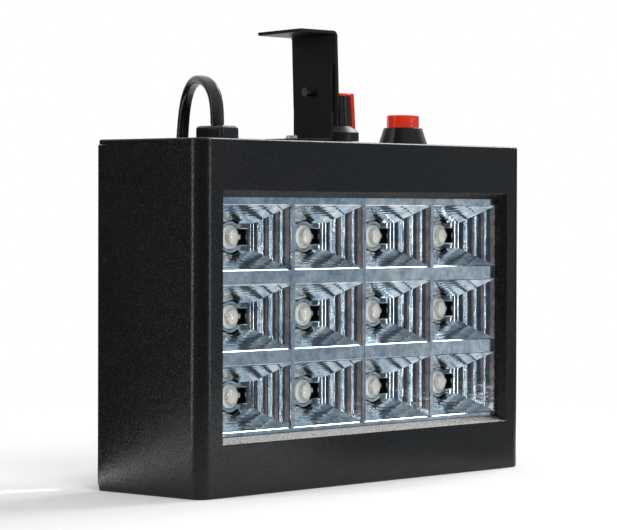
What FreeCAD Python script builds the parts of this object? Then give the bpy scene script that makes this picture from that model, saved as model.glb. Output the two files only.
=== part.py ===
import FreeCAD, Part
import math
import os
import re

import Sketcher

# A twelve-emitter LED stroboscope: a moulded housing with two chromed reflectors, a speed
# knob, a push button, a flat mains lead and a folding steel bracket on top.
# Millimetres. +Z is up, the light leaves towards -Y, +X is to the right seen from the front.
# The origin is at the middle of the footprint, on the surface that the housing stands on.

SIZES = [
    ("housing_width", 175.0, "left side to right side"),
    ("housing_height", 121.6, "bottom to top"),
    ("housing_depth", 50.7, "front face to the back of the rear cover"),
    ("wall", 1.8, "side, top and bottom walls"),
    ("front_wall", 2.6, "front wall"),
    ("corner_radius", 4.8, "vertical front corners"),
    ("edge_radius", 0.8, "edges of the top and the bottom"),
    ("cover_proud", 0.6, "how far the cover stands out behind the walls"),
    ("cover_rim", 4.9, "depth of the cover's rim, seen at the sides"),
    ("cover_back", 2.0, "thickness of the cover's back"),
    ("cover_lip", 1.5, "cover's rim along the top and the bottom"),
    ("cover_gap", 0.1, "gap between cover and shell"),
    ("cover_edge_radius", 1.6, "vertical rear corners"),
    ("vent_length", 24.0, "ventilation slot, along X"),
    ("vent_width", 2.2, "ventilation slot, along Z"),
    ("vent_pitch", 5.0, "slot to slot"),
    ("vent_inset", 22.0, "middle of a group of slots from the side"),
    ("vent_count", 5.0, "slots in a group"),
    ("boss_radius", 3.5, "corner bosses for the cover screws"),
    ("boss_inset_x", 9.5, "boss axis from the side"),
    ("boss_inset_z", 9.3, "boss axis from the top or bottom"),
    ("web", 1.4, "webs from the bosses to the side walls"),
    ("web_depth", 30.0, "webs, front to rear"),
    ("window_width", 155.4, "outer edge of the window's bevel"),
    ("window_height", 86.2, "outer edge of the window's bevel"),
    ("window_shift", 0.8, "window centre right of the housing's centre"),
    ("window_centre", 60.9, "height of the window's centre"),
    ("bevel", 2.3, "width and depth of the bevel"),
    ("lip_radius", 0.7, "rounding between front face and bevel"),
    ("rim_depth", 4.2, "front face to the reflectors"),
    ("rim_width", 2.0, "rib around the opening, inside"),
    ("reflector_boss_radius", 2.4, "bosses for the reflector screws"),
    ("cell_overlap", 1.2, "rows and columns of cells longer than the opening"),
    ("cell_bar_x", 1.0, "rib between two cells side by side"),
    ("cell_bar_z", 5.1, "bar between two cells above each other"),
    ("cell_depth", 12.2, "mouth to floor"),
    ("cell_drop", 0.55, "middle row below the window's centre"),
    ("floor_width", 23.8, "floor of a cell"),
    ("floor_height", 9.5, "floor of a cell"),
    ("reflector_wall", 1.0, "thickness of the reflector"),
    ("module_gap", 0.2, "between the two reflectors"),
    ("flange", 1.2, "reflector flange"),
    ("flange_side", 3.4, "reflector flange beyond the opening, sideways"),
    ("flange_screw_rise", 3.8, "flange screws beyond the opening"),
    ("flange_rise", 6.4, "reflector flange beyond the opening, up and down"),
    ("led_recess_radius", 6.2, "round recess in a cell around its emitter"),
    ("led_recess_depth", 4.6, "outside of the round recess, above the floor"),
    ("led_hole_radius", 4.5, "hole in the floor for the emitter"),
    ("lead_slot_length", 17.1, "slot in the floor for the leads"),
    ("lead_slot_height", 5.6, "slot in the floor for the leads"),
    ("post_radius", 2.6, "posts that carry the emitter board"),
    ("post_hole_depth", 6.0, "screw holes in the posts"),
    ("led_radius", 4.35, "emitter body"),
    ("led_height", 3.6, "emitter body above its board"),
    ("dome_radius", 3.3, "emitter lens"),
    ("dome_height", 1.7, "emitter lens"),
    ("lead_reach", 7.25, "emitter axis to the end of a lead"),
    ("lead_width", 1.6, "emitter lead"),
    ("lead_thickness", 0.4, "emitter lead"),
    ("lead_rise", 1.2, "emitter lead above its board"),
    ("cup_flare", 0.5, "cup around the emitter's lens"),
    ("board_thickness", 1.6, "circuit boards"),
    ("board_margin_x", 16.0, "emitter board beyond the outer emitters"),
    ("board_margin_z", 11.4, "emitter board beyond the outer emitters"),
    ("driver_width", 92.0, "driver board"),
    ("driver_height", 58.0, "driver board"),
    ("driver_centre", 56.0, "height of the driver board's centre"),
    ("standoff_height", 5.0, "cover to driver board"),
    ("standoff_radius", 3.0, "standoffs on the cover"),
    ("standoff_inset", 4.5, "standoff axis from the board's edges"),
    ("standoff_hole_depth", 4.4, "screw holes in the standoffs"),
    ("driver_screw_length", 5.5, "under the head"),
    ("transformer_x", -14.0, "transformer's middle"),
    ("transformer_z", 50.0, "transformer's middle"),
    ("core_width", 30.0, "transformer core"),
    ("core_height", 25.0, "transformer core"),
    ("core_depth", 11.0, "transformer core"),
    ("bobbin_width", 19.0, "transformer winding"),
    ("bobbin_height", 32.0, "transformer winding"),
    ("bobbin_depth", 14.5, "transformer winding"),
    ("capacitor_x", 17.0, "first capacitor"),
    ("capacitor_z", 40.0, "capacitors"),
    ("capacitor_pitch", 14.5, "capacitor to capacitor"),
    ("capacitor_radius", 6.3, "capacitors"),
    ("capacitor_length", 15.0, "capacitors"),
    ("chip_x", 24.0, "chips"),
    ("chip_z", 66.0, "lower chip"),
    ("chip_pitch", 11.0, "chip to chip"),
    ("chip_length", 19.0, "chips"),
    ("chip_width", 6.4, "chips"),
    ("chip_height", 3.6, "chips"),
    ("fuse_x", -2.0, "fuse's middle"),
    ("fuse_z", 78.0, "fuse's middle"),
    ("fuse_length", 20.0, "fuse"),
    ("fuse_radius", 2.6, "fuse"),
    ("fuse_rise", 4.5, "fuse's axis from its board"),
    ("clip_width", 4.0, "fuse clips"),
    ("block_x", -27.0, "terminal block's middle"),
    ("block_z", 78.5, "terminal block's middle"),
    ("block_width", 14.0, "terminal block"),
    ("block_height", 9.0, "terminal block"),
    ("block_depth", 9.5, "terminal block"),
    ("block_pitch", 7.0, "terminal block's wires"),
    ("small_screw_radius", 1.3, "self-tapping screws inside"),
    ("small_head_radius", 2.4, "their heads"),
    ("small_head_height", 1.5, "their heads"),
    ("reflector_screw_length", 4.0, "under the head"),
    ("board_screw_length", 6.0, "under the head"),
    ("reflector_hole_depth", 3.0, "screw holes behind the front wall"),
    ("thread_gap", 0.05, "between a screw's thread and its hole"),
    ("free_gap", 0.2, "between a screw and a hole that it only passes"),
    ("cover_screw_radius", 1.5, "screws of the rear cover"),
    ("cover_screw_length", 12.0, "under the head"),
    ("boss_hole_depth", 14.0, "screw holes in the bosses"),
    ("cover_head_radius", 2.8, "screws of the rear cover"),
    ("cover_head_height", 1.2, "screws of the rear cover"),
    ("head_taper", 0.78, "screw heads, top to base"),
    ("recess_width", 0.7, "arms of a screw's cross recess"),
    ("recess_depth", 0.6, "arms of a screw's cross recess"),
    ("head_recess", 1.2, "how deep the heads sit in the cover"),
    ("bushing_x", -53.5, "strain relief from the middle"),
    ("bushing_head_radius", 7.1, "strain relief, corner of the head"),
    ("bushing_head_height", 5.0, "strain relief"),
    ("bushing_radius", 6.2, "strain relief in its hole"),
    ("bushing_length", 11.0, "strain relief below the panel's outside"),
    ("snap_reach", 0.9, "how far the snap ring stands out below the panel"),
    ("snap_height", 1.4, "snap ring of the strain relief"),
    ("panel_hole_gap", 0.15, "between a part and its hole in the panel"),
    ("lock_width", 5.6, "locking wedge of the strain relief, along X"),
    ("lock_depth", 3.0, "locking wedge of the strain relief, along Y"),
    ("lock_rise", 0.5, "locking wedge above the strain relief's head"),
    ("channel_gap", 0.1, "around the lead inside the strain relief"),
    ("cord_width", 5.0, "flat mains lead"),
    ("cord_thickness", 3.0, "flat mains lead"),
    ("cord_radius", 2.0, "free lead, as a round tube of the same section"),
    ("tail_length", 18.5, "lead inside the strain relief and below it"),
    ("foot_screw_x", -14.5, "bracket's foot screw from the middle"),
    ("foot_screw_radius", 1.5, "foot screw"),
    ("foot_head_radius", 2.7, "foot screw"),
    ("foot_head_height", 1.2, "foot screw"),
    ("foot_screw_length", 8.0, "foot screw under the head"),
    ("foot_nut_radius", 3.1, "corner of the foot screw's nut"),
    ("foot_nut_height", 2.4, "foot screw's nut"),
    ("sheet", 1.2, "thickness of the bracket's steel"),
    ("bend_radius", 2.0, "outside of the bracket's bends"),
    ("screw_to_leg", 11.8, "foot screw to the outside of the lower leg"),
    ("foot_length", 19.0, "lower bracket, along X"),
    ("lower_width", 18.4, "lower bracket, along Y"),
    ("lower_height", 28.5, "lower bracket, above the housing"),
    ("leg_corner", 4.0, "rounded corners of the lower bracket's foot and the upper leg's end"),
    ("top_corner", 0.8, "eased corners of the lower leg's top and the flange's end"),
    ("upper_width", 21.3, "upper bracket, along Y"),
    ("upper_above", 21.6, "upper bracket, pivot to top"),
    ("upper_below", 8.6, "upper bracket, pivot to lower end"),
    ("flange_length", 19.6, "upper bracket's flange, along X"),
    ("hang_hole_radius", 2.5, "hole in the upper bracket's flange"),
    ("pivot_height", 18.4, "pivot above the housing"),
    ("pivot_radius", 1.5, "pivot screw"),
    ("pivot_head_radius", 2.8, "pivot screw"),
    ("pivot_head_height", 2.0, "pivot screw"),
    ("pivot_end", 4.2, "bare end of the pivot screw beyond the lower leg"),
    ("pivot_washer_radius", 2.9, "spring washer under the pivot screw's head"),
    ("pivot_washer", 0.8, "spring washer"),
    ("bracket_lean", 2.0, "upper bracket leans back at rest, degrees"),
    ("hang_hole_reach", 9.5, "hanging hole from the upper leg's outside"),
    ("slip", 0.08, "running clearance of the pivots"),
    ("face_gap", 0.1, "between faces that slide on each other"),
    ("knob_x", 9.0, "knob from the middle"),
    ("knob_gap", 1.0, "knob above the panel"),
    ("knob_hollow_radius", 6.6, "hollow under the knob"),
    ("knob_hollow_height", 3.4, "hollow under the knob"),
    ("shaft_bore_top", 2.6, "knob above its shaft"),
    ("knob_height", 17.4, "knob"),
    ("skirt_radius", 8.4, "knob's skirt"),
    ("skirt_height", 3.1, "knob's skirt, straight part"),
    ("grip_base_radius", 6.05, "knob's grip at the skirt"),
    ("grip_top_radius", 5.45, "knob's grip at the top"),
    ("grip_base", 5.4, "skirt's slope ends this high"),
    ("knob_cap_height", 1.0, "red cap of the knob"),
    ("pointer_width", 2.2, "red pointer of the knob"),
    ("pointer_angle", 312.0, "pointer's direction at rest, degrees from +X"),
    ("rib_count", 18.0, "grooves around the grip"),
    ("rib_radius", 0.6, "grooves around the grip"),
    ("rib_depth", 0.35, "grooves around the grip"),
    ("pointer_inset", 1.3, "pointer's depth in the grip"),
    ("pointer_sink", 1.0, "pointer's foot in the skirt's slope"),
    ("pointer_proud", 1.15, "pointer outside the grip"),
    ("shaft_radius", 3.0, "potentiometer shaft"),
    ("pot_radius", 8.25, "potentiometer case"),
    ("pot_height", 8.5, "potentiometer case"),
    ("neck_radius", 3.5, "potentiometer's threaded neck"),
    ("neck_above", 3.6, "neck above the panel"),
    ("pot_floor", 1.6, "potentiometer case below its shaft"),
    ("lug_width", 14.0, "potentiometer's terminal plate"),
    ("lug_reach", 9.4, "potentiometer's terminal plate from the axis"),
    ("lug_height", 2.4, "potentiometer's terminal plate"),
    ("terminal_pitch", 5.0, "terminals, middle to middle"),
    ("terminal_width", 1.6, "terminals"),
    ("terminal_thickness", 0.5, "terminals"),
    ("terminal_length", 5.0, "terminals"),
    ("pot_nut_radius", 5.7, "corner of the potentiometer's nut"),
    ("pot_nut_height", 2.0, "potentiometer's nut"),
    ("pot_washer_radius", 5.6, "washer under the nut"),
    ("pot_washer", 0.4, "washer under the nut"),
    ("button_x", 47.05, "push button from the middle"),
    ("collar_base_radius", 9.4, "push button's collar at the panel"),
    ("collar_top_radius", 7.2, "push button's collar at its top"),
    ("collar_height", 6.75, "push button's collar"),
    ("cap_radius", 6.05, "red button"),
    ("cap_above", 4.7, "red button above its collar"),
    ("cap_sunk", 0.7, "red button inside its collar, at rest"),
    ("cap_round", 0.5, "rounding of the red button"),
    ("travel", 3.0, "push button's travel"),
    ("stem_radius", 2.6, "push button's stem"),
    ("cap_gap", 0.3, "between the red button and its collar"),
    ("guide_floor", 2.0, "floor that guides the stem"),
    ("shoulder_radius", 4.1, "shoulder at the stem's lower end"),
    ("shoulder_height", 1.4, "shoulder at the stem's lower end"),
    ("barrel_bore_radius", 4.6, "push button's barrel, inside"),
    ("barrel_radius", 6.0, "push button's threaded barrel"),
    ("barrel_length", 15.0, "barrel below the panel's outside"),
    ("button_nut_radius", 8.0, "corner of the button's nut"),
    ("button_nut_height", 2.6, "button's nut"),
    ("base_height", 3.0, "contact base in the barrel's end"),
    ("nub_height", 1.6, "nub that centres the spring"),
    ("spring_wire", 0.45, "return spring"),
    ("spring_radius", 3.1, "return spring, middle of its wire"),
    ("spring_turns", 4.0, "return spring"),
    ("wire_radius", 0.9, "insulated wires inside"),
    ("wire_step", 1.0, "wires from the middle of the lead that they leave"),
    ("wire_bend", 5.0, "runs of the wires inside are multiples of this"),
    ("coil_x", 33.0, "middle of the put-away coil"),
    ("coil_y", 61.0, "middle of the put-away coil"),
    ("coil_radius", 26.1, "put-away coil, middle of its turns"),
    ("coil_turns_wide", 2.0, "turns side by side"),
    ("coil_layers", 3.0, "turns on each other"),
    ("coil_lift", 1.0, "coil above the floor, on its tie"),
    ("coil_round", 1.2, "rounding of the coil's section"),
    ("tie_gap", 0.35, "between the coil and its tie"),
    ("tie_thickness", 0.8, "tie around the coil"),
    ("tie_width", 7.0, "tie around the coil"),
    ("plug_gap", 0.2, "plug above the coil"),
    ("plug_offset", 18.0, "plug's axis in front of the coil's middle"),
    ("plug_sleeve", 8.0, "straight part of the plug at the lead"),
    ("plug_face", 10.0, "straight part of the plug at its pins"),
    ("plug_length", 34.0, "plug body"),
    ("plug_width", 26.0, "plug body at its face"),
    ("plug_thickness", 13.6, "plug body at its face"),
    ("plug_tail_width", 9.0, "plug body at the lead"),
    ("plug_tail_thickness", 7.0, "plug body at the lead"),
    ("pin_radius", 2.0, "plug pins"),
    ("pin_length", 19.0, "plug pins"),
    ("pin_spacing", 18.6, "plug pins, axis to axis"),
]

# Places that follow from the sizes. Each may use those before it.
PLACES = [
    ("front", "-housing_depth / 2"),
    ("back", "housing_depth / 2"),
    ("shell_back", "back - cover_proud"),
    ("side_seam", "back - cover_rim"),
    ("side_inside", "housing_width / 2 - wall"),
    ("under_panel", "housing_height - wall"),
    ("inner_front", "front + front_wall"),
    ("mouth_plane", "front + rim_depth"),
    ("opening_half", "window_width / 2 - bevel"),
    ("opening_rise", "window_height / 2 - bevel"),
    ("cell_pitch_x", "(opening_half * 2 + cell_overlap) / 4"),
    ("cell_pitch_z", "(opening_rise * 2 + cell_overlap) / 3"),
    ("cell_width", "cell_pitch_x - cell_bar_x"),
    ("cell_height", "cell_pitch_z - cell_bar_z"),
    ("cell_centre", "window_centre - cell_drop"),
    ("led_board_width", "3 * cell_pitch_x + 2 * board_margin_x"),
    ("led_board_height", "2 * cell_pitch_z + 2 * board_margin_z"),
    ("floor_plane", "mouth_plane + cell_depth"),
    ("floor_back", "floor_plane + reflector_wall"),
    ("led_board_front", "floor_plane + led_height"),
    ("led_board_back", "led_board_front + board_thickness"),
    ("cover_inside", "back - cover_back"),
    ("driver_back", "cover_inside - standoff_height"),
    ("driver_front", "driver_back - board_thickness"),
    ("boss_x", "housing_width / 2 - boss_inset_x"),
    ("boss_low", "boss_inset_z"),
    ("boss_high", "housing_height - boss_inset_z"),
    ("boss_end", "cover_inside - cover_gap"),
    ("flange_screw_line", "opening_rise + flange_screw_rise"),
    ("flange_half", "opening_rise + flange_rise"),
    ("flange_end", "opening_half + flange_side"),
    ("standoff_rise", "driver_height / 2 - standoff_inset"),
    ("led_front", "floor_plane + face_gap"),
    ("lead_level", "led_board_front - lead_rise"),
    ("terminal_low", "under_panel - pot_height + lug_height / 2"),
    ("foot_level", "housing_height + face_gap"),
    ("leg_outside", "foot_screw_x + screw_to_leg"),
    ("leg_inside", "leg_outside - sheet"),
    ("upper_inside", "leg_outside + face_gap"),
    ("upper_outside", "upper_inside + sheet"),
    ("pivot_level", "housing_height + pivot_height"),
    ("knob_level", "housing_height + knob_gap"),
    ("pointer_foot", "grip_base - pointer_sink"),
    ("collar_level", "housing_height + collar_height"),
    ("shaft_low", "under_panel - pot_height + pot_floor"),
    ("knob_top", "knob_level + knob_height"),
    ("shaft_top", "knob_top - shaft_bore_top"),
    ("cap_low", "collar_level - cap_sunk"),
    ("cap_top", "collar_level + cap_above"),
    ("guide_top", "cap_low - travel - cap_gap"),
    ("guide_low", "guide_top - guide_floor"),
    ("shoulder_top", "guide_low - face_gap"),
    ("shoulder_low", "shoulder_top - shoulder_height"),
    ("barrel_low", "housing_height - barrel_length"),
    ("base_top", "barrel_low + base_height"),
    ("cord_exit", "housing_height + bushing_head_height"),
    ("lead_start", "cord_exit + lock_rise"),
    ("bushing_low", "housing_height - bushing_length"),
    ("coil_half", "coil_turns_wide * cord_width / 2"),
    ("coil_top", "coil_lift + coil_layers * cord_thickness + 0.1"),
    ("plug_level", "coil_top + plug_gap + plug_thickness / 2"),
    ("plug_y", "coil_y - plug_offset"),
]

doc = FreeCAD.newDocument("led_stroboscope")
sheets = {}
for title, rows in (("sizes", SIZES), ("places", PLACES)):
    sheet = doc.addObject("Spreadsheet::Sheet", title)
    for number, row in enumerate(rows, 1):
        sheets[row[0]] = sheet
        sheet.set("A%d" % number, row[0])
        if title == "sizes":
            sheet.set("B%d" % number, str(row[1]))
            sheet.set("C%d" % number, row[2])
        sheet.setAlias("B%d" % number, row[0])


def fx(text):
    """A formula on plain names, with each name's sheet put before it."""
    return re.sub(r"[a-z][a-z_]+", lambda word: full_name(word.group()), str(text))


def full_name(word):
    if word not in sheets:
        return word
    return sheets[word].Name + "." + word


for number, row in enumerate(PLACES, 1):
    sheets[row[0]].set("B%d" % number, "=" + fx(row[1]))
doc.recompute()


class Read:
    """The sheets' values as numbers: mm.wall is the wall's thickness."""

    def __getattr__(self, name):
        return float(sheets[name].get(name))


mm = Read()
V = FreeCAD.Vector
subparts = []


def keep(piece, name):
    """Marks a finished sub-part, which gets its own name and file."""
    piece.Label = name
    subparts.append(piece)
    return piece


def bind(piece, **formulas):
    for name, formula in formulas.items():
        piece.setExpression(name, fx(formula))


def put(piece, place):
    for axis, formula in zip("xyz", place):
        piece.setExpression("Placement.Base." + axis, fx(formula))


# Which way each axis turns a piece that is made along +Z.
ALONG = {
    "+z": FreeCAD.Rotation(),
    "-z": FreeCAD.Rotation(V(1, 0, 0), 180),
    "+y": FreeCAD.Rotation(V(1, 0, 0), -90),
    "-y": FreeCAD.Rotation(V(1, 0, 0), 90),
    "+x": FreeCAD.Rotation(V(0, 1, 0), 90),
    "-x": FreeCAD.Rotation(V(0, 1, 0), -90),
}


def box(name, low, high):
    piece = doc.addObject("Part::Box", name)
    for side, a, b in zip(("Length", "Width", "Height"), low, high):
        piece.setExpression(side, fx("(%s) - (%s)" % (b, a)))
    put(piece, low)
    return piece


def cylinder(name, place, radius, height, along="+z"):
    piece = doc.addObject("Part::Cylinder", name)
    piece.Placement.Rotation = ALONG[along]
    bind(piece, Radius=radius, Height=height)
    put(piece, place)
    return piece


def cone(name, place, radius, top_radius, height, along="+z"):
    piece = doc.addObject("Part::Cone", name)
    piece.Placement.Rotation = ALONG[along]
    bind(piece, Radius1=radius, Radius2=top_radius, Height=height)
    put(piece, place)
    return piece


def hexagon(name, place, corner_radius, height, along="+z"):
    piece = doc.addObject("Part::Prism", name)
    piece.Polygon = 6
    piece.Placement.Rotation = ALONG[along]
    bind(piece, Circumradius=corner_radius, Height=height)
    put(piece, place)
    return piece


def wedge(name, near, far, y_near, y_far):
    """A block whose X and Z sides change from near, (x0, x1, z0, z1), to far."""
    piece = doc.addObject("Part::Wedge", name)
    bind(piece, Ymin=y_near, Ymax=y_far)
    bind(piece, Xmin=near[0], Xmax=near[1], Zmin=near[2], Zmax=near[3])
    bind(piece, X2min=far[0], X2max=far[1], Z2min=far[2], Z2max=far[3])
    return piece


def fuse(name, pieces):
    piece = doc.addObject("Part::MultiFuse", name)
    piece.Shapes = pieces
    return piece


def group(name, pieces):
    piece = doc.addObject("Part::Compound", name)
    piece.Links = pieces
    return piece


def cut(name, base, tools):
    tool = tools[0] if len(tools) == 1 else fuse(name + "_tools", tools)
    piece = doc.addObject("Part::Cut", name)
    piece.Base = base
    piece.Tool = tool
    return piece


def common(name, base, tool):
    piece = doc.addObject("Part::Common", name)
    piece.Base = base
    piece.Tool = tool
    return piece


def made(name, shape):
    """A piece whose shape comes from Part's own functions."""
    piece = doc.addObject("Part::Feature", name)
    piece.Shape = shape
    return piece


# The normal of each plane's sketch runs this way along X, Y or Z.
NORMAL = {"XY_Plane": 1, "XZ_Plane": -1, "YZ_Plane": 1}


class Body:
    """A PartDesign body, built up feature by feature."""

    def __init__(self, name):
        self.body = doc.addObject("PartDesign::Body", name)
        self.name = name
        self.count = 0

    def new(self, kind):
        self.count += 1
        return self.body.newObject(kind, "%s_%d" % (self.name, self.count))

    def sketch(self, role, at="0"):
        """A sketch on an origin plane, moved to a place along that plane's axis."""
        sketch = self.new("Sketcher::SketchObject")
        plane = [f for f in self.body.Origin.OriginFeatures if f.Role == role][0]
        sketch.AttachmentSupport = [(plane, "")]
        sketch.MapMode = "FlatFace"
        sign = "" if NORMAL[role] > 0 else "-"
        sketch.setExpression("AttachmentOffset.Base.z", fx("%s(%s)" % (sign, at)))
        self.normal = NORMAL[role]
        return sketch

    def finish(self, feature, cuts):
        before = self.body.Shape.Volume if self.count > 2 else 0
        doc.recompute()
        after = self.body.Shape.Volume
        if cuts and not after < before:
            raise ValueError("%s cuts nothing" % feature.Name)
        if not cuts and not after > before:
            raise ValueError("%s adds nothing" % feature.Name)
        return feature

    def pad(self, sketch, length, way=1, middle=False):
        feature = self.new("PartDesign::Pad")
        feature.Profile = sketch
        feature.Reversed = self.normal * way < 0
        feature.Midplane = middle
        bind(feature, Length=length)
        return self.finish(feature, False)

    def pocket(self, sketch, length, way=1, middle=False):
        feature = self.new("PartDesign::Pocket")
        feature.Profile = sketch
        feature.Reversed = self.normal * way > 0
        feature.Midplane = middle
        bind(feature, Length=length)
        return self.finish(feature, True)

    def revolve(self, sketch):
        feature = self.new("PartDesign::Revolution")
        feature.Profile = sketch
        feature.ReferenceAxis = (sketch, ["V_Axis"])
        feature.Angle = 360
        return self.finish(feature, False)

    def edges(self, test):
        """The names of the edges whose box passes a test."""
        return [
            "Edge%d" % (number + 1)
            for number, edge in enumerate(self.body.Shape.Edges)
            if test(edge.BoundBox)
        ]

    def fillet(self, radius, test):
        base = self.body.Tip
        feature = self.new("PartDesign::Fillet")
        feature.Base = (base, self.edges(test))
        bind(feature, Radius=radius)
        doc.recompute()
        return feature

    def chamfer(self, width, test):
        base = self.body.Tip
        feature = self.new("PartDesign::Chamfer")
        feature.Base = (base, self.edges(test))
        bind(feature, Size=width)
        doc.recompute()
        return feature

    def along(self, feature, role, pitch, count):
        """Copies of a feature in a row."""
        axis = [f for f in self.body.Origin.OriginFeatures if f.Role == role][0]
        pattern = self.new("PartDesign::LinearPattern")
        pattern.Originals = [feature]
        pattern.Direction = (axis, [""])
        pattern.Mode = "Spacing"
        bind(pattern, Offset=pitch, Occurrences=count)
        self.body.Tip = pattern
        doc.recompute()


probe = doc.addObject("App::FeaturePython", "probe")
probe.addProperty("App::PropertyFloat", "Value")


def value(formula):
    """What a formula comes to now."""
    probe.setExpression("Value", fx("0 + (%s)" % formula))
    probe.recompute()
    return probe.Value


def polygon(sketch, points):
    """A closed outline through points given as formulas."""
    places = [V(value(x), value(y), 0) for x, y in points]
    first = sketch.GeometryCount
    count = len(points)
    for number in range(count):
        sketch.addGeometry(Part.LineSegment(places[number], places[(number + 1) % count]))
    for number in range(count):
        line = first + number
        after = first + (number + 1) % count
        sketch.addConstraint(Sketcher.Constraint("Coincident", line, 2, after, 1))
    for number, point in enumerate(points):
        measure = zip(("DistanceX", "DistanceY"), point, places[number])
        for kind, formula, start in measure:
            rule = Sketcher.Constraint(kind, -1, 1, first + number, 1, start)
            index = sketch.addConstraint(rule)
            sketch.setExpression("Constraints[%d]" % index, fx(formula))


def rectangle(sketch, x0, x1, y0, y1):
    polygon(sketch, [(x0, y0), (x1, y0), (x1, y1), (x0, y1)])


def circle(sketch, x, y, radius):
    shape = Part.Circle(V(0, 0, 0), V(0, 0, 1), 1)
    number = sketch.addGeometry(shape)
    for kind, formula in (("DistanceX", x), ("DistanceY", y)):
        index = sketch.addConstraint(Sketcher.Constraint(kind, -1, 1, number, 3, 1))
        sketch.setExpression("Constraints[%d]" % index, fx(formula))
    index = sketch.addConstraint(Sketcher.Constraint("Radius", number, 1))
    sketch.setExpression("Constraints[%d]" % index, fx(radius))


def shifted(place, along, offset):
    """A place moved by an offset in the frame of a piece that is made along an axis."""
    moved = []
    for axis, start in enumerate(place):
        formula = str(start)
        for own, step in zip((V(1, 0, 0), V(0, 1, 0), V(0, 0, 1)), offset):
            share = round(ALONG[along].multVec(own)[axis])
            if share:
                formula += " %s (%s)" % ("+" if share > 0 else "-", step)
        moved.append(formula)
    return moved


def bar(name, place, along, sides):
    """A box with its first corner at a place, turned to an axis."""
    piece = doc.addObject("Part::Box", name)
    piece.Placement.Rotation = ALONG[along]
    bind(piece, Length=sides[0], Width=sides[1], Height=sides[2])
    put(piece, place)
    return piece


def screw(name, place, up, radius, length, head_radius, head_height):
    """A cross-recessed screw. Its place is under its head, which points up."""
    shank_end = shifted(place, up, ("0", "0", "-(%s)" % length))
    shank = cylinder(name + "_shank", shank_end, radius, length, up)
    head = cone(name + "_head", place, head_radius, head_radius + " * head_taper", head_height, up)
    arms = []
    for number in range(2):
        sides = ["recess_width", head_radius, "recess_depth"]
        if number:
            sides[0], sides[1] = sides[1], sides[0]
        middle = ["-(%s) / 2" % side for side in sides[:2]]
        corner = shifted(place, up, middle + ["%s - recess_depth" % head_height])
        arms.append(bar(name + "_arm", corner, up, sides))
    return cut(name, fuse(name + "_solid", [shank, head]), arms)


def nut(name, place, corner_radius, height, bore, along="+z"):
    return cut(
        name,
        hexagon(name + "_hexagon", place, corner_radius, height, along),
        [cylinder(name + "_bore", place, bore, height, along)],
    )


def ring(name, place, radius, height, bore, along="+z"):
    return cut(
        name,
        cylinder(name + "_disc", place, radius, height, along),
        [cylinder(name + "_bore", place, bore, height, along)],
    )


def tube(name, radius, points):
    """A round tube along straight runs joined by arcs that are as large as the runs allow."""
    places = [V(*[value(formula) for formula in point]) for point in points]
    runs = [b - a for a, b in zip(places, places[1:])]
    edges = []
    start = places[0]
    radii = []
    for corner, before, after in zip(places[1:], runs, runs[1:]):
        half = before.getAngle(after) / 2
        reach = 0.45 * min(before.Length, after.Length)
        radii.append(reach / math.tan(half))
        first = corner - V(before).normalize() * reach
        last = corner + V(after).normalize() * reach
        inward = (V(after).normalize() - V(before).normalize()).normalize()
        middle = corner + inward * (radii[-1] / math.cos(half) - radii[-1])
        edges.append(Part.LineSegment(start, first).toShape())
        edges.append(Part.Arc(first, middle, last).toShape())
        start = last
    edges.append(Part.LineSegment(start, places[-1]).toShape())
    line = Part.Wire(edges)
    section = Part.Wire([Part.makeCircle(radius, places[0], runs[0])])
    shape = line.makePipeShell([section], True, False)
    expected = math.pi * radius**2 * line.Length
    if abs(shape.Volume - expected) > 0.01 * expected:
        raise ValueError("%s: volume %.1f, expected %.1f" % (name, shape.Volume, expected))
    print(name, "length %.1f" % line.Length, "radii", [round(r, 1) for r in radii])
    return made(name, shape)


# ---------------------------------------------------------------- housing


def near(a, b):
    return abs(a - b) < 0.01


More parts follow.
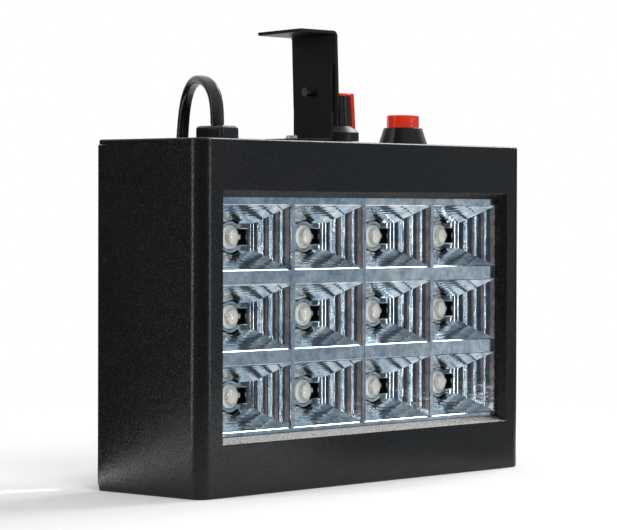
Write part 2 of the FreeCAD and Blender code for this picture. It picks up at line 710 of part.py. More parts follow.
def front_shell():
    shell = Body("front_shell_body")
    half = mm.housing_width / 2

    outline = shell.sketch("XZ_Plane", "front")
    rectangle(outline, "-housing_width / 2", "housing_width / 2", "0", "housing_height")
    shell.pad(outline, "shell_back - front")

    seat = shell.sketch("XZ_Plane", "side_seam")
    rectangle(seat, "-housing_width / 2", "housing_width / 2", "wall", "under_panel")
    shell.pocket(seat, "shell_back - side_seam")

    def upright(b, y):
        at_side = near(b.XLength, 0) and near(abs(b.XMin), half)
        return at_side and near(b.YMin, y) and b.ZLength > mm.edge_radius

    shell.fillet("corner_radius", lambda b: upright(b, mm.front))
    shell.fillet("cover_edge_radius", lambda b: upright(b, mm.shell_back))
    shell.fillet(
        "edge_radius",
        lambda b: near(b.YMax, mm.front)
        and near(b.ZLength, 0)
        and (near(b.ZMin, 0) or near(b.ZMax, mm.housing_height)),
    )

    inside = shell.sketch("XZ_Plane", "shell_back")
    rectangle(inside, "-side_inside", "side_inside", "wall", "under_panel")
    shell.pocket(inside, "shell_back - inner_front", way=-1)
    shell.fillet(
        "corner_radius - wall",
        lambda b: near(abs(b.XMin), mm.side_inside)
        and near(b.XLength, 0)
        and near(b.YMax, mm.inner_front),
    )

    rim = shell.sketch("XZ_Plane", "inner_front")
    window(rim, "opening_half + rim_width", "opening_rise + rim_width")
    shell.pad(rim, "mouth_plane - inner_front")
    screw_bosses(shell)
    opening = shell.sketch("XZ_Plane", "mouth_plane")
    window(opening, "opening_half", "opening_rise")
    shell.pocket(opening, "mouth_plane - front", way=-1)

    def window_edge(b, across, up):
        flat = near(b.YMax, mm.front)
        inside_x = abs(b.Center.x - mm.window_shift) < across + 0.01
        inside_z = abs(b.Center.z - mm.window_centre) < up + 0.01
        return flat and inside_x and inside_z

    shell.chamfer("bevel", lambda b: window_edge(b, mm.opening_half, mm.opening_rise))
    shell.fillet(
        "lip_radius",
        lambda b: window_edge(b, mm.window_width / 2, mm.window_height / 2),
    )

    holes = shell.sketch("XY_Plane", "housing_height")
    circle(holes, "bushing_x", "0", "bushing_radius + panel_hole_gap")
    circle(holes, "foot_screw_x", "0", "foot_screw_radius + free_gap")
    circle(holes, "knob_x", "0", "neck_radius + panel_hole_gap")
    circle(holes, "button_x", "0", "barrel_radius + panel_hole_gap")
    shell.pocket(holes, "wall", way=-1)
    return keep(shell.body, "front_shell")


def window(sketch, across, up):
    """A rectangle around the middle of the window."""
    sides = "window_shift - (%s)" % across, "window_shift + %s" % across
    rectangle(sketch, *sides, "window_centre - (%s)" % up, "window_centre + %s" % up)


def corners():
    """The four corner bosses: sign of X, height."""
    return [(side, level) for side in ("-", "") for level in ("boss_low", "boss_high")]


def reflector_screw_places():
    """Above and below the middle of each column of cells."""
    return [
        ("window_shift + %s * cell_pitch_x" % step, "window_centre %s flange_screw_line" % sign)
        for step in (-1.5, -0.5, 0.5, 1.5)
        for sign in "-+"
    ]


def screw_bosses(shell):
    webs = shell.sketch("XZ_Plane", "inner_front")
    for side, level in corners():
        inner, outer = side + "boss_x", side + "side_inside"
        low, high = "%s - web / 2" % level, "%s + web / 2" % level
        left, right = (outer, inner) if side else (inner, outer)
        rectangle(webs, left, right, low, high)
    shell.pad(webs, "web_depth")

    posts = shell.sketch("XZ_Plane", "inner_front")
    for side, level in corners():
        circle(posts, side + "boss_x", level, "boss_radius")
    shell.pad(posts, "boss_end - inner_front")
    bores = shell.sketch("XZ_Plane", "boss_end")
    for side, level in corners():
        circle(bores, side + "boss_x", level, "cover_screw_radius + thread_gap")
    shell.pocket(bores, "boss_hole_depth", way=-1)

    pads = shell.sketch("XZ_Plane", "inner_front")
    for x, z in reflector_screw_places():
        circle(pads, x, z, "reflector_boss_radius")
    shell.pad(pads, "mouth_plane - inner_front")
    pilots = shell.sketch("XZ_Plane", "mouth_plane")
    for x, z in reflector_screw_places():
        circle(pilots, x, z, "small_screw_radius + thread_gap")
    shell.pocket(pilots, "reflector_hole_depth", way=-1)


def standoffs():
    """The four standoffs under the driver board: x, z."""
    return [
        ("%s(driver_width / 2 - standoff_inset)" % x, "driver_centre %s standoff_rise" % z)
        for x in ("-", "")
        for z in "-+"
    ]


def rear_cover():
    cover = Body("rear_cover_body")
    low, high = "wall + cover_gap", "under_panel - cover_gap"

    outline = cover.sketch("XZ_Plane", "side_seam + cover_gap")
    rectangle(outline, "-housing_width / 2", "housing_width / 2", low, high)
    cover.pad(outline, "back - side_seam - cover_gap")
    inside = cover.sketch("XZ_Plane", "cover_inside")
    rectangle(inside, "-side_inside", "side_inside", low + " + cover_lip", high + " - cover_lip")
    cover.pocket(inside, "cover_inside - side_seam", way=-1)
    cover.fillet(
        "cover_edge_radius",
        lambda b: near(abs(b.XMin), mm.housing_width / 2)
        and near(b.XLength, 0)
        and near(b.YMin, mm.back),
    )

    legs = cover.sketch("XZ_Plane", "cover_inside")
    for x, z in standoffs():
        circle(legs, x, z, "standoff_radius")
    cover.pad(legs, "standoff_height", way=-1)
    pilots = cover.sketch("XZ_Plane", "driver_back")
    for x, z in standoffs():
        circle(pilots, x, z, "small_screw_radius + thread_gap")
    cover.pocket(pilots, "standoff_hole_depth")

    for radius, depth in (("cover_screw_radius + free_gap", "cover_back"),
                          ("cover_head_radius + free_gap", "head_recess")):
        holes = cover.sketch("XZ_Plane", "back")
        for side, level in corners():
            circle(holes, side + "boss_x", level, radius)
        cover.pocket(holes, depth, way=-1)

    slots = cover.sketch("XZ_Plane", "back")
    bottom = "housing_height / 2 - (vent_count - 1) / 2 * vent_pitch - vent_width / 2"
    for x in ("vent_inset - housing_width / 2", "housing_width / 2 - vent_inset"):
        ends = "%s - vent_length / 2" % x, "%s + vent_length / 2" % x
        rectangle(slots, *ends, bottom, bottom + " + vent_width")
    vent = cover.pocket(slots, "cover_back", way=-1)
    cover.along(vent, "Z_Axis", "vent_pitch", "vent_count")
    return keep(cover.body, "rear_cover")


def cover_screws():
    size = "cover_screw_radius", "cover_screw_length", "cover_head_radius", "cover_head_height"
    screws = [
        screw("cover_screw", (side + "boss_x", "back - head_recess", level), "+y", *size)
        for side, level in corners()
    ]
    keep(group("cover_screw_set", screws), "cover_screws")


# ---------------------------------------------------------------- light head


def cells(columns=(-1.5, -0.5, 0.5, 1.5)):
    """The middle of each cell, column by column."""
    for column in columns:
        for row in (1, 0, -1):
            x = "window_shift + %s * cell_pitch_x" % column
            yield x, "cell_centre + %s * cell_pitch_z" % row


def around(x, z, across, up):
    """The sides of a rectangle around a place: x0, x1, z0, z1."""
    return (
        "%s - (%s)" % (x, across),
        "%s + (%s)" % (x, across),
        "%s - (%s)" % (z, up),
        "%s + (%s)" % (z, up),
    )


def reflector(name, columns, seam, edge):
    """A chromed module of six cells with its flange and the posts for the emitter board."""
    solid = [
        box(name + "_flange", (min_name(seam, edge), "mouth_plane", "window_centre - flange_half"),
            (max_name(seam, edge), "mouth_plane + flange", "window_centre + flange_half")),
    ]
    hollow = []
    for x, z in cells(columns):
        mouth = around(x, z, "(cell_pitch_x - module_gap) / 2", "cell_height / 2 + reflector_wall")
        far = "floor_width / 2 + reflector_wall", "floor_height / 2 + reflector_wall"
        shell = mouth, around(x, z, *far)
        solid.append(wedge(name + "_cell", *shell, "mouth_plane", "floor_back"))
        recess_start = "floor_plane - led_recess_depth"
        solid.append(cylinder(name + "_cup", (x, recess_start, z), "led_recess_radius + reflector_wall",
                              "floor_back - (%s)" % recess_start, "+y"))
        inner = around(x, z, "cell_width / 2", "cell_height / 2")
        bottom = around(x, z, "floor_width / 2", "floor_height / 2")
        hollow.append(wedge(name + "_mouth", inner, bottom, "mouth_plane", "floor_plane"))
        hollow.append(cylinder(name + "_recess", (x, "mouth_plane", z), "led_recess_radius",
                               "cell_depth", "+y"))
        hollow.append(cylinder(name + "_hole", (x, "floor_plane - reflector_wall", z),
                               "led_hole_radius", "reflector_wall * 3", "+y"))
        x0, x1, z0, z1 = around(x, z, "lead_slot_length / 2", "lead_slot_height / 2")
        hollow.append(box(name + "_slot", (x0, "floor_plane - reflector_wall", z0),
                          (x1, "floor_back + reflector_wall", z1)))
    side = "-" if columns[0] < 0 else "+"
    for x, z in posts(side):
        solid.append(cylinder(name + "_post", (x, "mouth_plane", z), "post_radius",
                              "led_board_front - mouth_plane", "+y"))
        hollow.append(cylinder(name + "_pilot", (x, "led_board_front - post_hole_depth", z),
                               "small_screw_radius + thread_gap", "post_hole_depth", "+y"))
    for x, z in reflector_screw_places():
        if value("%s - window_shift" % x) * columns[0] > 0:
            hollow.append(cylinder(name + "_pass", (x, "mouth_plane", z),
                                   "small_screw_radius + free_gap", "flange", "+y"))
    keep(cut(name + "_module", fuse(name + "_solid", solid), hollow), name)


def min_name(seam, edge):
    return seam if value(seam) < value(edge) else edge


def max_name(seam, edge):
    return edge if value(seam) < value(edge) else seam


def posts(side):
    """The two posts of a module: x, z."""
    x = "window_shift %s cell_pitch_x" % side
    return [(x, "cell_centre + cell_pitch_z / 2"), (x, "cell_centre - cell_pitch_z / 2")]


def reflectors():
    reflector("reflector_left", (-1.5, -0.5), "window_shift - module_gap / 2",
              "window_shift - flange_end")
    reflector("reflector_right", (0.5, 1.5), "window_shift + module_gap / 2",
              "window_shift + flange_end")
    size = "small_screw_radius", "reflector_screw_length", "small_head_radius", "small_head_height"
    screws = [
        screw("reflector_screw", (x, "mouth_plane + flange", z), "+y", *size)
        for x, z in reflector_screw_places()
    ]
    keep(group("reflector_screw_set", screws), "reflector_screws")


def led_board():
    board = Body("led_board_body")
    outline = board.sketch("XZ_Plane", "led_board_front")
    sides = around("window_shift", "cell_centre", "led_board_width / 2", "led_board_height / 2")
    rectangle(outline, *sides)
    board.pad(outline, "board_thickness")
    holes = board.sketch("XZ_Plane", "led_board_front")
    for x, z in posts("-") + posts("+"):
        circle(holes, x, z, "small_screw_radius + free_gap")
    board.pocket(holes, "board_thickness")
    keep(board.body, "led_board")
    size = "small_screw_radius", "board_screw_length", "small_head_radius", "small_head_height"
    screws = [
        screw("board_screw", (x, "led_board_back", z), "+y", *size)
        for x, z in posts("-") + posts("+")
    ]
    keep(group("board_screw_set", screws), "board_screws")


def leds():
    """The emitters' bodies, their domed lenses and their bent leads."""
    emitters, lenses, leads = [], [], []
    for x, z in cells():
        case = cylinder("led_case", (x, "led_front", z), "led_radius", "led_board_front - led_front", "+y")
        cup = cone("led_cup", (x, "led_front", z), "dome_radius + cup_flare",
                   "dome_radius + thread_gap", "dome_radius - dome_height", "+y")
        emitters.append(cut("led_emitter", case, [cup]))
        dome = doc.addObject("Part::Sphere", "led_dome")
        dome.Placement.Rotation = ALONG["-y"]
        bind(dome, Radius="dome_radius", Angle1="0")
        put(dome, (x, "led_front + dome_radius - dome_height", z))
        lenses.append(dome)
        for side in "-+":
            start, end = "%s %s (led_radius + thread_gap)" % (x, side), "%s %s lead_reach" % (x, side)
            knee = "%s %s (lead_reach - lead_thickness)" % (x, side)
            z0, z1 = "%s - lead_width / 2" % z, "%s + lead_width / 2" % z
            outer, foot = (end, start), (end, knee)
            if side == "+":
                outer, foot = (start, end), (knee, end)
            arm = box("lead_arm", (outer[0], "lead_level - lead_thickness", z0), (outer[1], "lead_level", z1))
            leg = box("lead_leg", (foot[0], "lead_level", z0), (foot[1], "led_board_front", z1))
            leads.append(fuse("led_lead", [arm, leg]))
    keep(group("led_emitter_set", emitters), "led_emitters")
    keep(group("led_lens_set", lenses), "led_lenses")
    keep(group("led_lead_set", leads), "led_leads")


# ---------------------------------------------------------------- driver board


def driver():
    board = Body("driver_board_body")
    outline = board.sketch("XZ_Plane", "driver_front")
    rectangle(outline, *around("0", "driver_centre", "driver_width / 2", "driver_height / 2"))
    board.pad(outline, "board_thickness")
    holes = board.sketch("XZ_Plane", "driver_front")
    for x, z in standoffs():
        circle(holes, x, z, "small_screw_radius + free_gap")
    board.pocket(holes, "board_thickness")
    keep(board.body, "driver_board")

    size = "small_screw_radius", "driver_screw_length", "small_head_radius", "small_head_height"
    screws = [screw("driver_screw", (x, "driver_front", z), "-y", *size) for x, z in standoffs()]
    keep(group("driver_screw_set", screws), "driver_screws")

    core = on_board("core", "transformer_x", "transformer_z", "core")
    bobbin = on_board("bobbin", "transformer_x", "transformer_z", "bobbin")
    keep(fuse("transformer", [core, bobbin]), "driver_transformer")
    keep(on_board("mains_block", "block_x", "block_z", "block"), "terminal_block")

    cans = [
        cylinder("can", ("capacitor_x + %d * capacitor_pitch" % number, "driver_front", "capacitor_z"),
                 "capacitor_radius", "capacitor_length", "-y")
        for number in range(2)
    ]
    keep(group("can_set", cans), "driver_capacitors")
    chips = []
    for number in range(2):
        middle = "chip_z + %d * chip_pitch" % number
        x0, x1, z0, z1 = around("chip_x", middle, "chip_length / 2", "chip_width / 2")
        chips.append(box("chip", (x0, "driver_front - chip_height", z0), (x1, "driver_front", z1)))
    keep(group("chip_set", chips), "driver_chips")

    level = "driver_front - fuse_rise"
    glass = cylinder("fuse_glass", ("fuse_x - fuse_length / 2", level, "fuse_z"), "fuse_radius",
                     "fuse_length", "+x")
    clips = []
    for middle in ("fuse_x - fuse_length / 2 + clip_width", "fuse_x + fuse_length / 2 - clip_width"):
        x0, x1, z0, z1 = around(middle, "fuse_z", "clip_width / 2", "fuse_radius + lead_thickness")
        clips.append(box("fuse_clip", (x0, level, z0), (x1, "driver_front", z1)))
    keep(fuse("fuse", [glass] + clips), "driver_fuse")


def on_board(name, x, z, kind):
    """A block that stands on the front of the driver board."""
    x0, x1, z0, z1 = around(x, z, kind + "_width / 2", kind + "_height / 2")
    return box(name, (x0, "driver_front - %s_depth" % kind, z0), (x1, "driver_front", z1))


def wires():
    """Insulated wires, each from the face of one piece to the face of another."""

    def wire(name, points):
        return tube(name, mm.wire_radius, points)

    tail, middle = "cord_exit - tail_length", "driver_front - block_depth / 2"
    block_top, passing = "block_z + block_height / 2", "driver_front - wire_bend * 1.55"
    left, right = "block_x - block_pitch / 2", "block_x + block_pitch / 2"
    mains = []
    for sign, end, drop, across, rise in (("-", left, 1.8, 1.9, 1.5), ("+", right, 1.2, 2.4, 2.1)):
        start = "bushing_x %s wire_step" % sign
        mains.append(wire("mains_wire", [
            (start, "0", tail),
            (start, "0", "%s - wire_bend * %s" % (tail, drop)),
            ("bushing_x + wire_bend * %s" % across, passing, "%s - wire_bend * (%s + 0.7)" % (tail, drop)),
            (end, middle, "%s + wire_bend * %s" % (block_top, rise)),
            (end, middle, block_top)]))
    keep(group("mains_wire_set", mains), "mains_wires")

    supply = []
    side, edge = "window_shift + led_board_width / 2 - wire_bend *", "driver_width / 2 - wire_bend * 0.6"
    for step in (0, 0.8):
        start, turn, end = ["cell_centre + wire_bend * (%s - %s)" % (rise, step) for rise in (1.2, 0.4, -0.4)]
        supply.append(wire("led_wire", [
            (side + " 2.8", "led_board_back", start),
            (side + " 2.8", "led_board_back + wire_bend * 1.55", start),
            (side + " 4", passing, turn),
            (edge, "driver_front - wire_bend * 1.45", end),
            (edge, "driver_front", end)]))
    keep(group("led_wire_set", supply), "led_wires")

    control = []
    pad = "driver_centre + driver_height / 2 - wire_bend * 0.6"
    for step in (-1, 0, 1):
        x, end = "knob_x + %d * terminal_pitch" % step, "knob_x + wire_bend * (1 + 0.6 * %d)" % step
        y = "lug_reach + terminal_length - wire_bend * 0.24"
        control.append(wire("pot_wire", [
            (x, y, "terminal_low"),
            (x, y, "terminal_low - wire_bend * 2.2"),
            (end, "driver_front - wire_bend * 1.05", pad + " + wire_bend * 2"),
            (end, "driver_front - wire_bend * 1.35", pad),
            (end, "driver_front", pad)]))
    switch = "barrel_low - terminal_length"
    for sign, drop, first, last in (
        ("-", 0.8, (1.4, 1.75, 2.4), (3.2, 1.15, 0)),
        ("+", 1.0, (0.6, 2.35, 1.6), (2.2, 1.35, 0)),
    ):
        x = "button_x %s terminal_pitch / 2" % sign
        turns = [
            ("button_x - wire_bend * %s" % back, "driver_front - wire_bend * %s" % before,
             "%s + wire_bend * %s" % (pad, above))
            for back, before, above in (first, last)
        ]
        control.append(wire("switch_wire", [
            (x, "0", switch), (x, "0", "%s - wire_bend * %s" % (switch, drop)), *turns,
            (turns[-1][0], "driver_front", pad)]))
    keep(group("control_wire_set", control), "control_wires")


# ---------------------------------------------------------------- speed control


def potentiometer():
    case = cylinder("pot_case", ("knob_x", "0", "under_panel - pot_height"), "pot_radius", "pot_height")
    neck = cylinder("pot_neck", ("knob_x", "0", "under_panel"), "neck_radius", "wall + neck_above")
    lug = box("pot_lug", ("knob_x - lug_width / 2", "0", "under_panel - pot_height"),
              ("knob_x + lug_width / 2", "lug_reach", "under_panel - pot_height + lug_height"))
    bore = cylinder("pot_bore", ("knob_x", "0", "shaft_low - face_gap"), "shaft_radius + slip",
                    "housing_height + neck_above - shaft_low + face_gap")
    keep(cut("pot", fuse("pot_solid", [case, neck, lug]), [bore]), "speed_pot_body")

    terminals = []
    for step in (-1, 0, 1):
        x = "knob_x + %d * terminal_pitch" % step
        low, high = "%s - terminal_width / 2" % x, "%s + terminal_width / 2" % x
        terminals.append(box(
            "pot_terminal", (low, "lug_reach", "terminal_low"),
            (high, "lug_reach + terminal_length", "terminal_low + terminal_thickness")))
    keep(group("pot_terminal_set", terminals), "pot_terminals")

    keep(ring("washer", ("knob_x", "0", "housing_height"), "pot_washer_radius", "pot_washer",
              "neck_radius + panel_hole_gap"), "pot_washer")
    keep(nut("neck_nut", ("knob_x", "0", "housing_height + pot_washer"), "pot_nut_radius",
             "pot_nut_height", "neck_radius + thread_gap"), "pot_nut")
    keep(cylinder("shaft", ("knob_x", "0", "shaft_low"), "shaft_radius", "shaft_top - shaft_low"),
         "speed_pot_shaft")


def knob():
    body = Body("knob_turned")
    body.body.setExpression("Placement.Base.x", fx("knob_x"))
    profile = body.sketch("XZ_Plane")
    grip_top = "knob_top - knob_cap_height"
    bore = "shaft_radius + thread_gap"
    polygon(profile, [
        ("knob_hollow_radius", "knob_level"), ("skirt_radius", "knob_level"),
        ("skirt_radius", "knob_level + skirt_height"), ("grip_base_radius", "knob_level + grip_base"),
        ("grip_top_radius", grip_top), ("0", grip_top), ("0", "shaft_top + face_gap"),
        (bore, "shaft_top + face_gap"), (bore, "knob_level + knob_hollow_height"),
        ("knob_hollow_radius", "knob_level + knob_hollow_height")])
    body.revolve(profile)

    tools = []
    rise = mm.knob_height - mm.knob_cap_height - mm.grip_base
    tilt = math.degrees(math.atan((mm.grip_base_radius - mm.grip_top_radius) / rise))
    reach = "(grip_base_radius + rib_radius - rib_depth)"
    for number in range(int(mm.rib_count)):
        turn = "(%d + 0.5) * 360 / rib_count" % number
        place = ("knob_x + cos(%s) * %s" % (turn, reach), "sin(%s) * %s" % (turn, reach),
                 "knob_level + grip_base")
        groove = cylinder("knob_groove", place, "rib_radius", "knob_height")
        groove.Placement.Rotation = FreeCAD.Rotation(V(0, 0, 1), value(turn)) * FreeCAD.Rotation(
            V(0, 1, 0), -tilt)
        tools.append(groove)
    tools.append(pointer_bar("pointer_slot", "thread_gap"))
    keep(cut("knob", body.body, tools), "knob_body")

    slope = cone("pointer_limit", ("knob_x", "0", "knob_level + pointer_foot"),
                 "grip_base_radius + pointer_proud", "grip_top_radius + pointer_proud",
                 "knob_height - pointer_foot")
    strip = common("pointer_strip", pointer_bar("pointer_blank", "0"), slope)
    disc = cylinder("cap_disc", ("knob_x", "0", grip_top), "grip_top_radius", "knob_cap_height")
    keep(fuse("cap", [disc, strip]), "knob_cap")


def pointer_bar(name, gap):
    """A bar along the grip at the pointer's angle, wider by a gap on each side."""
    piece = doc.addObject("Part::Box", name)
    inner, half = "(grip_top_radius - pointer_inset - %s)" % gap, "(pointer_width / 2 + %s)" % gap
    bind(piece, Length="grip_base_radius + 2 * pointer_proud - %s" % inner, Width="2 * %s" % half,
         Height="knob_height - pointer_foot + 2 * %s" % gap)
    put(piece, ("knob_x + cos(pointer_angle) * %s + sin(pointer_angle) * %s" % (inner, half),
                "sin(pointer_angle) * %s - cos(pointer_angle) * %s" % (inner, half),
                "knob_level + pointer_foot - %s" % gap))
    piece.setExpression("Placement.Rotation.Angle", fx("pointer_angle"))
    return piece


# ---------------------------------------------------------------- push button


def push_button():
    axis = "button_x", "0"
    collar = cone("collar", (*axis, "housing_height"), "collar_base_radius", "collar_top_radius",
                  "collar_height")
    barrel = cylinder("barrel", (*axis, "barrel_low"), "barrel_radius", "barrel_length")
    hollow = [
        cylinder("cap_well", (*axis, "guide_top"), "cap_radius + cap_gap", "collar_level - guide_top"),
        cylinder("stem_guide", (*axis, "guide_low"), "stem_radius + slip", "guide_floor"),
        cylinder("barrel_bore", (*axis, "barrel_low"), "barrel_bore_radius", "guide_low - barrel_low"),
    ]
    keep(cut("button_moulding", fuse("button_solid", [collar, barrel]), hollow), "button_body")
    keep(nut("barrel_nut", (*axis, "under_panel - button_nut_height"), "button_nut_radius",
             "button_nut_height", "barrel_radius + thread_gap"), "button_nut")

    disc = cylinder("base_disc", (*axis, "barrel_low"), "barrel_bore_radius - thread_gap", "base_height")
    nub = cylinder("base_nub", (*axis, "base_top"), "spring_radius - spring_wire - cap_gap", "nub_height")
    keep(fuse("contact_base", [disc, nub]), "button_base")
    terminals = [
        box("button_terminal",
            ("%s - terminal_thickness / 2" % x, "-terminal_width / 2", "barrel_low - terminal_length"),
            ("%s + terminal_thickness / 2" % x, "terminal_width / 2", "barrel_low"))
        for x in ("button_x - terminal_pitch / 2", "button_x + terminal_pitch / 2")
    ]
    keep(group("button_terminal_set", terminals), "button_terminals")

    cap = Body("button_cap_body")
    cap.body.setExpression("Placement.Base.x", fx("button_x"))
    profile = cap.sketch("XZ_Plane")
    polygon(profile, [
        ("0", "shoulder_low"), ("shoulder_radius", "shoulder_low"), ("shoulder_radius", "shoulder_top"),
        ("stem_radius", "shoulder_top"), ("stem_radius", "cap_low"), ("cap_radius", "cap_low"),
        ("cap_radius", "cap_top"), ("0", "cap_top")])
    cap.revolve(profile)
    cap.fillet("cap_round", lambda b: near(b.ZMin, mm.cap_top) and near(b.ZLength, 0))
    keep(cap.body, "button_cap")

    length = mm.shoulder_low - mm.base_top - mm.spring_wire * 2 - mm.face_gap * 2
    helix = Part.makeLongHelix(length / mm.spring_turns, length, mm.spring_radius)
    start = V(mm.spring_radius, 0, 0)
    section = Part.Wire([Part.makeCircle(mm.spring_wire, start, V(0, 1, 0))])
    spring = made("spring", Part.Wire(helix).makePipeShell([section], True, True))
    put(spring, (*axis, "base_top + spring_wire + face_gap"))
    keep(spring, "button_spring")


# ---------------------------------------------------------------- mains lead

# The free lead's middle line, from the strain relief over a loop and down behind the housing
# to the put-away coil, then from the coil to the plug.
CORD = [
    ("-53.5", "0", "127.1"), ("-53.5", "0", "136.0"), ("-49.7", "8.1", "142.6"),
    ("-44.1", "19.9", "144.2"), ("-39.8", "28.9", "138.0"), ("-38.5", "32.0", "123.5"),
    ("-38.6", "32.9", "100.0"), ("-37.4", "33.0", "68.0"), ("-36.6", "33.6", "38.0"),
    ("-35.6", "34.0", "17.5"), ("-21.0", "34.9", "2.6"), ("0", "33.6", "2.5"),
    ("24.0", "32.5", "3.0"),
]
CORD_END = [
    ("9.0", "69.0", "8.6"), ("9.0", "54.5", "11.0"), ("14.5", "45.0", "15.2"), ("23.0", "43.0", "17.1"),
    ("33.0", "43.0", "17.1"),
]


def strain_relief():
    axis = "bushing_x", "0"
    head = doc.addObject("Part::Prism", "relief_head")
    head.Polygon = 12
    bind(head, Circumradius="bushing_head_radius", Height="bushing_head_height")
    put(head, (*axis, "housing_height"))
    shank = cylinder("relief_shank", (*axis, "bushing_low"), "bushing_radius", "bushing_length")
    snap = cone("relief_snap", (*axis, "under_panel - face_gap - snap_height"), "bushing_radius",
                "bushing_radius + snap_reach", "snap_height")
    across, half = "cord_width / 2 + channel_gap", "(cord_thickness / 2 + channel_gap)"
    channel = box("relief_channel", ("bushing_x - (%s)" % across, "-" + half, "bushing_low"),
                  ("bushing_x + %s" % across, half, "cord_exit"))
    slot = lock_block("lock_slot", "channel_gap")
    keep(cut("relief", fuse("relief_solid", [head, shank, snap]), [channel, slot]), "bushing_body")
    keep(lock_block("lock", "0"), "bushing_wedge")

    tail_low = "cord_exit - tail_length"
    core = "(cord_width - cord_thickness) / 2"
    web = box("tail_web", ("bushing_x - " + core, "-cord_thickness / 2", tail_low),
              ("bushing_x + " + core, "cord_thickness / 2", "lead_start"))
    sides = [
        cylinder("tail_side", ("bushing_x %s %s" % (sign, core), "0", tail_low), "cord_thickness / 2",
                 "lead_start - (%s)" % tail_low)
        for sign in "-+"
    ]
    keep(fuse("tail", [web] + sides), "cord_tail")


def lock_block(name, gap):
    """The wedge that clamps the lead in the strain relief, wider by a gap."""
    x0, x1 = "bushing_x - lock_width / 2 - %s" % gap, "bushing_x + lock_width / 2 + %s" % gap
    inner = "-(cord_thickness / 2 + channel_gap)"
    return box(name, (x0, "%s - lock_depth - %s" % (inner, gap), "bushing_low"),
               (x1, inner, "lead_start"))


def lead():
    keep(tube("lead_free", mm.cord_radius, CORD), "power_cord")
    keep(tube("lead_end", mm.cord_radius, CORD_END), "power_cord_end")

    coil = Body("coil_body")
    coil.body.setExpression("Placement.Base.x", fx("coil_x"))
    coil.body.setExpression("Placement.Base.y", fx("coil_y"))
    profile = coil.sketch("XZ_Plane")
    rectangle(profile, "coil_radius - coil_half", "coil_radius + coil_half", "coil_lift", "coil_top")
    coil.revolve(profile)
    coil.fillet("coil_round", lambda b: near(b.ZLength, 0))
    keep(coil.body, "power_cord_coil")

    near_side, far_side = "coil_y + coil_radius - coil_half", "coil_y + coil_radius + coil_half"
    strap = box("strap", ("coil_x - tie_width / 2", near_side + " - tie_gap - tie_thickness",
                          "coil_lift - face_gap - tie_thickness"),
                ("coil_x + tie_width / 2", far_side + " + tie_gap + tie_thickness",
                 "coil_top + face_gap + tie_thickness"))
    hole = box("strap_hole", ("coil_x - tie_width", near_side + " - tie_gap", "coil_lift - face_gap"),
               ("coil_x + tie_width", far_side + " + tie_gap", "coil_top + face_gap"))
    keep(cut("tie", strap, [hole]), "cord_tie")


def plug():
    """A tapered two-pin plug that lies on the coil."""
    shapes = []
    for role, wide in (("XY_Plane", "width"), ("XZ_Plane", "thickness")):
        body = Body("plug_" + wide)
        body.body.setExpression("Placement.Base.x", fx("coil_x"))
        body.body.setExpression("Placement.Base.y", fx("plug_y"))
        body.body.setExpression("Placement.Base.z", fx("plug_level"))
        outline = body.sketch(role)
        tail, face = "plug_tail_%s / 2" % wide, "plug_%s / 2" % wide
        upper = [("0", tail), ("plug_sleeve", tail), ("plug_length - plug_face", face), ("plug_length", face)]
        lower = [(x, "-" + y) for x, y in reversed(upper)]
        polygon(outline, upper + lower)
        body.pad(outline, "plug_width", middle=True)
        shapes.append(body.body)
    keep(common("plug", *shapes), "plug_body")
    pins = [
        cylinder("pin", ("coil_x + plug_length", "plug_y %s pin_spacing / 2" % sign, "plug_level"),
                 "pin_radius", "pin_length", "+x")
        for sign in "-+"
    ]
    keep(group("pin_set", pins), "plug_pins")


# ---------------------------------------------------------------- bracket


def bend(body, outer, inner):
    """Rounds the outer and the inner edge of a bend, each given as x, z."""
    for radius, (x, z) in (("bend_radius", outer), ("bend_radius - sheet", inner)):
        body.fillet(radius, lambda b: near(b.XLength, 0) and near(b.ZLength, 0)
                    and near(b.XMin, x) and near(b.ZMin, z))


def lower_bracket():
    body = Body("lower_bracket_body")
    profile = body.sketch("XZ_Plane")
    toe, top = "leg_outside - foot_length", "housing_height + lower_height"
    polygon(profile, [
        (toe, "foot_level"), ("leg_outside", "foot_level"), ("leg_outside", top), ("leg_inside", top),
        ("leg_inside", "foot_level + sheet"), (toe, "foot_level + sheet")])
    body.pad(profile, "lower_width", middle=True)
    bend(body, (mm.leg_outside, mm.foot_level), (mm.leg_inside, mm.foot_level + mm.sheet))
    body.fillet("top_corner", lambda b: near(b.XLength, mm.sheet) and near(b.ZMin, value(top)))
    body.fillet("leg_corner", lambda b: near(b.ZLength, mm.sheet) and near(b.XMin, value(toe)))
    foot_hole = body.sketch("XY_Plane", "foot_level + sheet")
    circle(foot_hole, "foot_screw_x", "0", "foot_screw_radius + slip")
    body.pocket(foot_hole, "sheet", way=-1)
    leg_hole = body.sketch("YZ_Plane", "leg_outside")
    circle(leg_hole, "0", "pivot_level", "pivot_radius + thread_gap")
    body.pocket(leg_hole, "sheet", way=-1)
    keep(body.body, "bracket_lower")

    keep(screw("foot", ("foot_screw_x", "0", "foot_level + sheet + face_gap"), "+z", "foot_screw_radius",
               "foot_screw_length", "foot_head_radius", "foot_head_height"), "foot_screw")
    keep(nut("foot_hex", ("foot_screw_x", "0", "under_panel - foot_nut_height"), "foot_nut_radius",
             "foot_nut_height", "foot_screw_radius + thread_gap"), "foot_nut")


